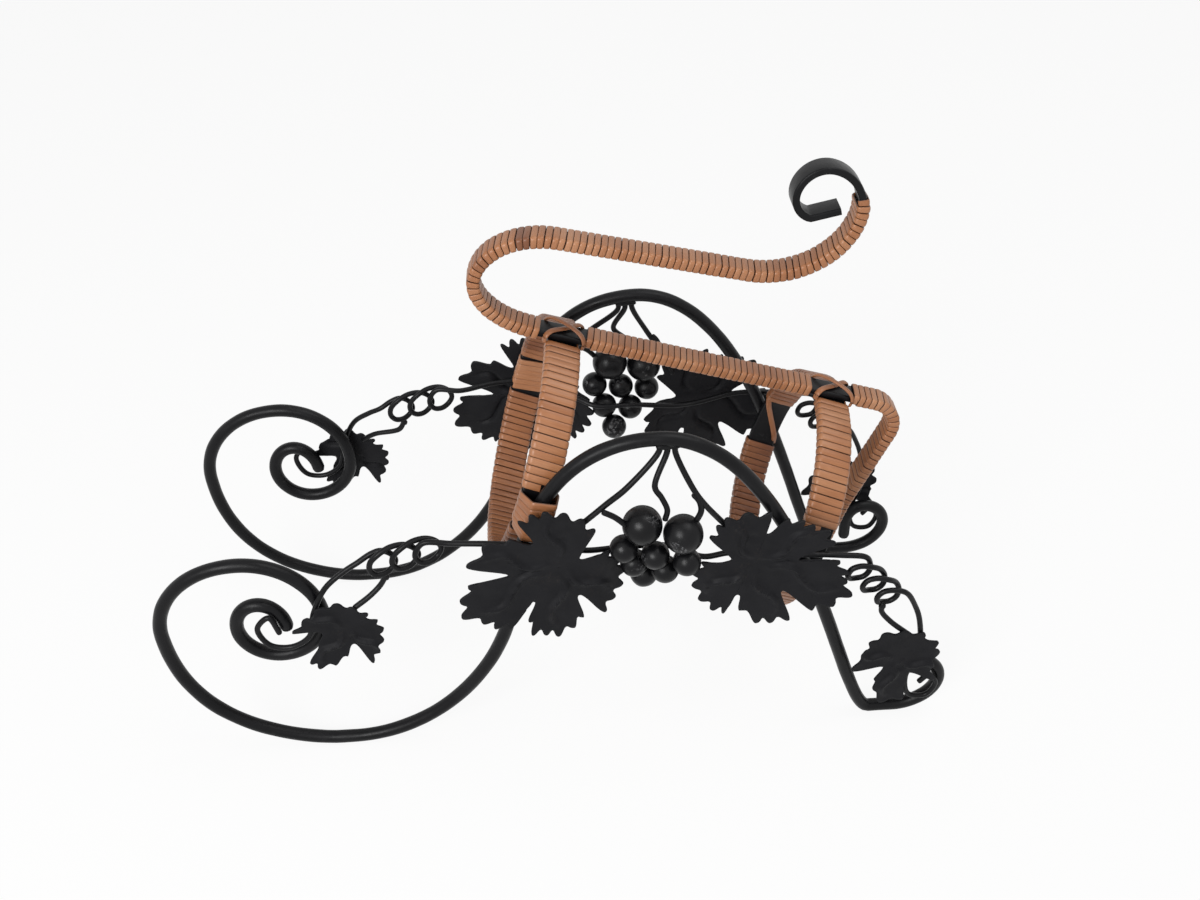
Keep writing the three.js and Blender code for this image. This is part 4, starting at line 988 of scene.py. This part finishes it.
def wireRoutes(side):
    moved = sideShift[side]
    shift, stems = moved["grapes"], moved["stems"]
    frontX = leaves["front_large_leaf"]["place"][0] + moved["front"]
    rearX = leaves["rear_large_leaf"]["place"][0] + moved["rear"]
    smallX, smallZ = leaves["front_small_leaf"]["place"]
    smallX += moved["front"]
    rearSmallX, rearSmallZ = leaves["rear_small_leaf"]["place"]
    frontLast = Vector(vine["frontCurls"]) + Vector(vine["frontRun"])
    rearLast = Vector(vine["rearCurls"]) + Vector(vine["rearRun"])
    clusterY = frameY + vine["clusterOut"]
    beforeVine = vineY + iron["wire"] + iron["weldGap"]
    slot = [vine["stemX"] + stems + k * vine["stemSpacing"] for k in (-1, 0, 1)]
    return {
        "vine": vineRoute(side),
        "front_leaf_stem": [
            (frontLast.x + 0.8, frameY, frontLast.y - vine["curlDepth"] - iron["wire"] + 0.4),
            (frontLast.x - 2.3, frameY + 0.5, frontLast.y - 13), (smallX + 11.3, vineY - 2, smallZ + 14.4),
            (smallX + 4.2, vineY, smallZ + 9.8)],
        "rear_leaf_stem": [
            (rearLast.x - 2.6, vineY, rearLast.y - 6.4), (rearLast.x - 2.4, vineY, rearLast.y - 10),
            (rearSmallX - 4.3, vineY, rearSmallZ + 22.1), (rearSmallX + 4.8, vineY, rearSmallZ + 13.2)],
        "front_stem": stemRoute(
            slot[0], [(stems - 12.4, vineY, 0.51), (stems - 20.9, vineY, 0.27)],
            (frontX + 10, vineY + 0.6, frontLeafHeight + 19.3)),
        "middle_stem": stemRoute(
            slot[1],
            [(stems - 1.3, vineY, 0.5), (shift + 1.5, vineY, 0.31), (shift + 3.6, clusterY - 0.5, 0.15)],
            (shift + 2.6, clusterY, clusterHeight + 5.8)),
        "rear_stem": stemRoute(
            slot[2], [(stems + 14, vineY, 0.57), (stems + 19, vineY, 0.36)],
            (rearX - 11.5, vineY - 2.5, rearLeafHeight + 16.9)),
        "side_stem": [
            (stems - 22.5, beforeVine, clusterHeight + 12.6), (shift - 17.6, beforeVine, clusterHeight + 9.4),
            (shift - 12.8, beforeVine, clusterHeight + 4.4)],
    }


# Weld beads: blobs, flattened and uneven, under the same paint, as half sizes along x, y and z
beads = {"crown": (5.2, 1.9, 1.9), "curl": (1.5, 1.4, 2.0), "lump": 0.25, "lumpScale": 1.3, "crownDrop": 0.6}


def weldBead(name, place, size, seed):
    def shape(way):
        lump = 1 + beads["lump"] * noise.noise(way * beads["lumpScale"] + Vector((seed, 0, 0)))
        return inFrame(place + Vector((way.x * size[0], way.y * size[1], way.z * size[2])) * lump)

    addPiece(name, ballMesh(name, 4, shape), satinIron)


def bendWire(name, points, seed, replaced=()):
    rings = roundRod(smoothThrough(points, spacing=0.6), wireRadius, sides=14, ripple=0.07, seed=seed)
    addPiece(name, skinMesh(name, rings), satinIron, replaced)


# the branch to the rear large grape, as x from the cluster, distance out from the vine, and height
branch = ((14.2, 0, 142.0), (16.6, 0.3, 138.5), (17.4, 0.8, 133.7), (15.3, 1.6, 129.0))
for side in ("left", "right"):
    routes = {name: mirrored(route, side) for name, route in wireRoutes(side).items()}
    for name, route in routes.items():
        bendWire(side + "_" + name + "_wire", route, len(name), [side + "_" + name])
    branchRoute = [(sideShift[side]["grapes"] + x, vineY + out, z) for x, out, z in branch]
    bendWire(side + "_rear_branch_wire", mirrored(branchRoute, side), 2)
    crownPlace = routes["middle_stem"][0] - up * beads["crownDrop"]
    weldBead(side + "_crown_weld", crownPlace, beads["crown"], 3.0)
    weldBead(side + "_front_curl_weld", routes["front_leaf_stem"][0], beads["curl"], 7.0)
    weldBead(side + "_rear_curl_weld", routes["rear_leaf_stem"][0], beads["curl"], 9.0)
print("vine wires bent")


# Floor, lamps and camera
studio = {"floor": "#f6f6f5", "floorSize": 12, "floorWhite": 0.9, "world": 0.34, "key": 12.0, "fill": 4.0,
          "target": (0, 0, 0.08)}
camera = {"place": (6.125, -441.124, 460.697), "yaw": 0.033495, "pitch": 0.655927, "roll": 0.033920,
          "lens": 37.3338}


def seenDirectly(tree):
    # 1 for rays from the camera, off metal and through glass, so that they all meet the white studio
    rays = node(tree, "LightPath").outputs
    mirrorRays = node(tree, "Math", {0: rays["Is Glossy Ray"], 1: rays["Is Transmission Ray"]},
                      operation="MAXIMUM")
    return node(tree, "Math", {0: rays["Is Camera Ray"], 1: mirrorRays}, operation="MAXIMUM")


def makeFloor():
    bpy.ops.mesh.primitive_plane_add(size=studio["floorSize"])
    floor = bpy.context.object
    floor.name = "pale_floor"
    material, tree, shader = newMaterial("pale_studio_floor")
    setInputs(tree, shader, {
        "Base Color": hexColour(studio["floor"]), "Roughness": 0.9, "Specular IOR Level": 0.1})
    white = node(tree, "Emission", {"Color": (1, 1, 1, 1), "Strength": 1.0})
    share = node(tree, "Math", {0: seenDirectly(tree), 1: studio["floorWhite"]}, operation="MULTIPLY")
    both = node(tree, "MixShader", {0: share, 1: shader, 2: white})
    setInputs(tree, tree.nodes["Material Output"], {"Surface": both})
    floor.data.materials.append(material)


def makeWorld():
    world = bpy.data.worlds.new("studio")
    bpy.context.scene.world = world
    world.use_nodes = True
    tree = world.node_tree
    strength = node(tree, "MapRange", {"Value": seenDirectly(tree), "To Min": studio["world"]})
    setInputs(tree, tree.nodes["Background"], {"Color": (1, 1, 1, 1), "Strength": strength})


def addLamp(name, place, size, power):
    lamp = bpy.data.lights.new(name, "AREA")
    lamp.shape = "DISK"
    lamp.size = size
    lamp.energy = power
    made = bpy.data.objects.new(name, lamp)
    made.location = place
    made.rotation_euler = (Vector(studio["target"]) - Vector(place)).to_track_quat("-Z", "Y").to_euler()
    bpy.context.scene.collection.objects.link(made)


def makeCamera():
    yaw, pitch, roll = camera["yaw"], camera["pitch"], camera["roll"]
    level = Vector((math.sin(yaw), math.cos(yaw), 0))
    forward = level * math.cos(pitch) - up * math.sin(pitch)
    right = Vector((math.cos(yaw), -math.sin(yaw), 0))
    down = forward.cross(right)
    right, down = (right * math.cos(roll) + down * math.sin(roll),
                   down * math.cos(roll) - right * math.sin(roll))
    data = bpy.data.cameras.new("photo_camera")
    data.lens = camera["lens"]
    data.clip_start = 0.01
    made = bpy.data.objects.new("photo_camera", data)
    turn = Matrix((right, -down, -forward)).transposed().to_4x4()
    made.matrix_world = Matrix.Translation(Vector(camera["place"]) * mm) @ turn
    bpy.context.scene.collection.objects.link(made)
    bpy.context.scene.camera = made


makeFloor()
makeWorld()
addLamp("front_key", (-0.55, -1.0, 0.75), 0.7, studio["key"])
addLamp("overhead_fill", (0.5, -0.1, 1.2), 0.8, studio["fill"])
makeCamera()
bpy.context.scene.view_settings.view_transform = "Standard"
print("studio lit")
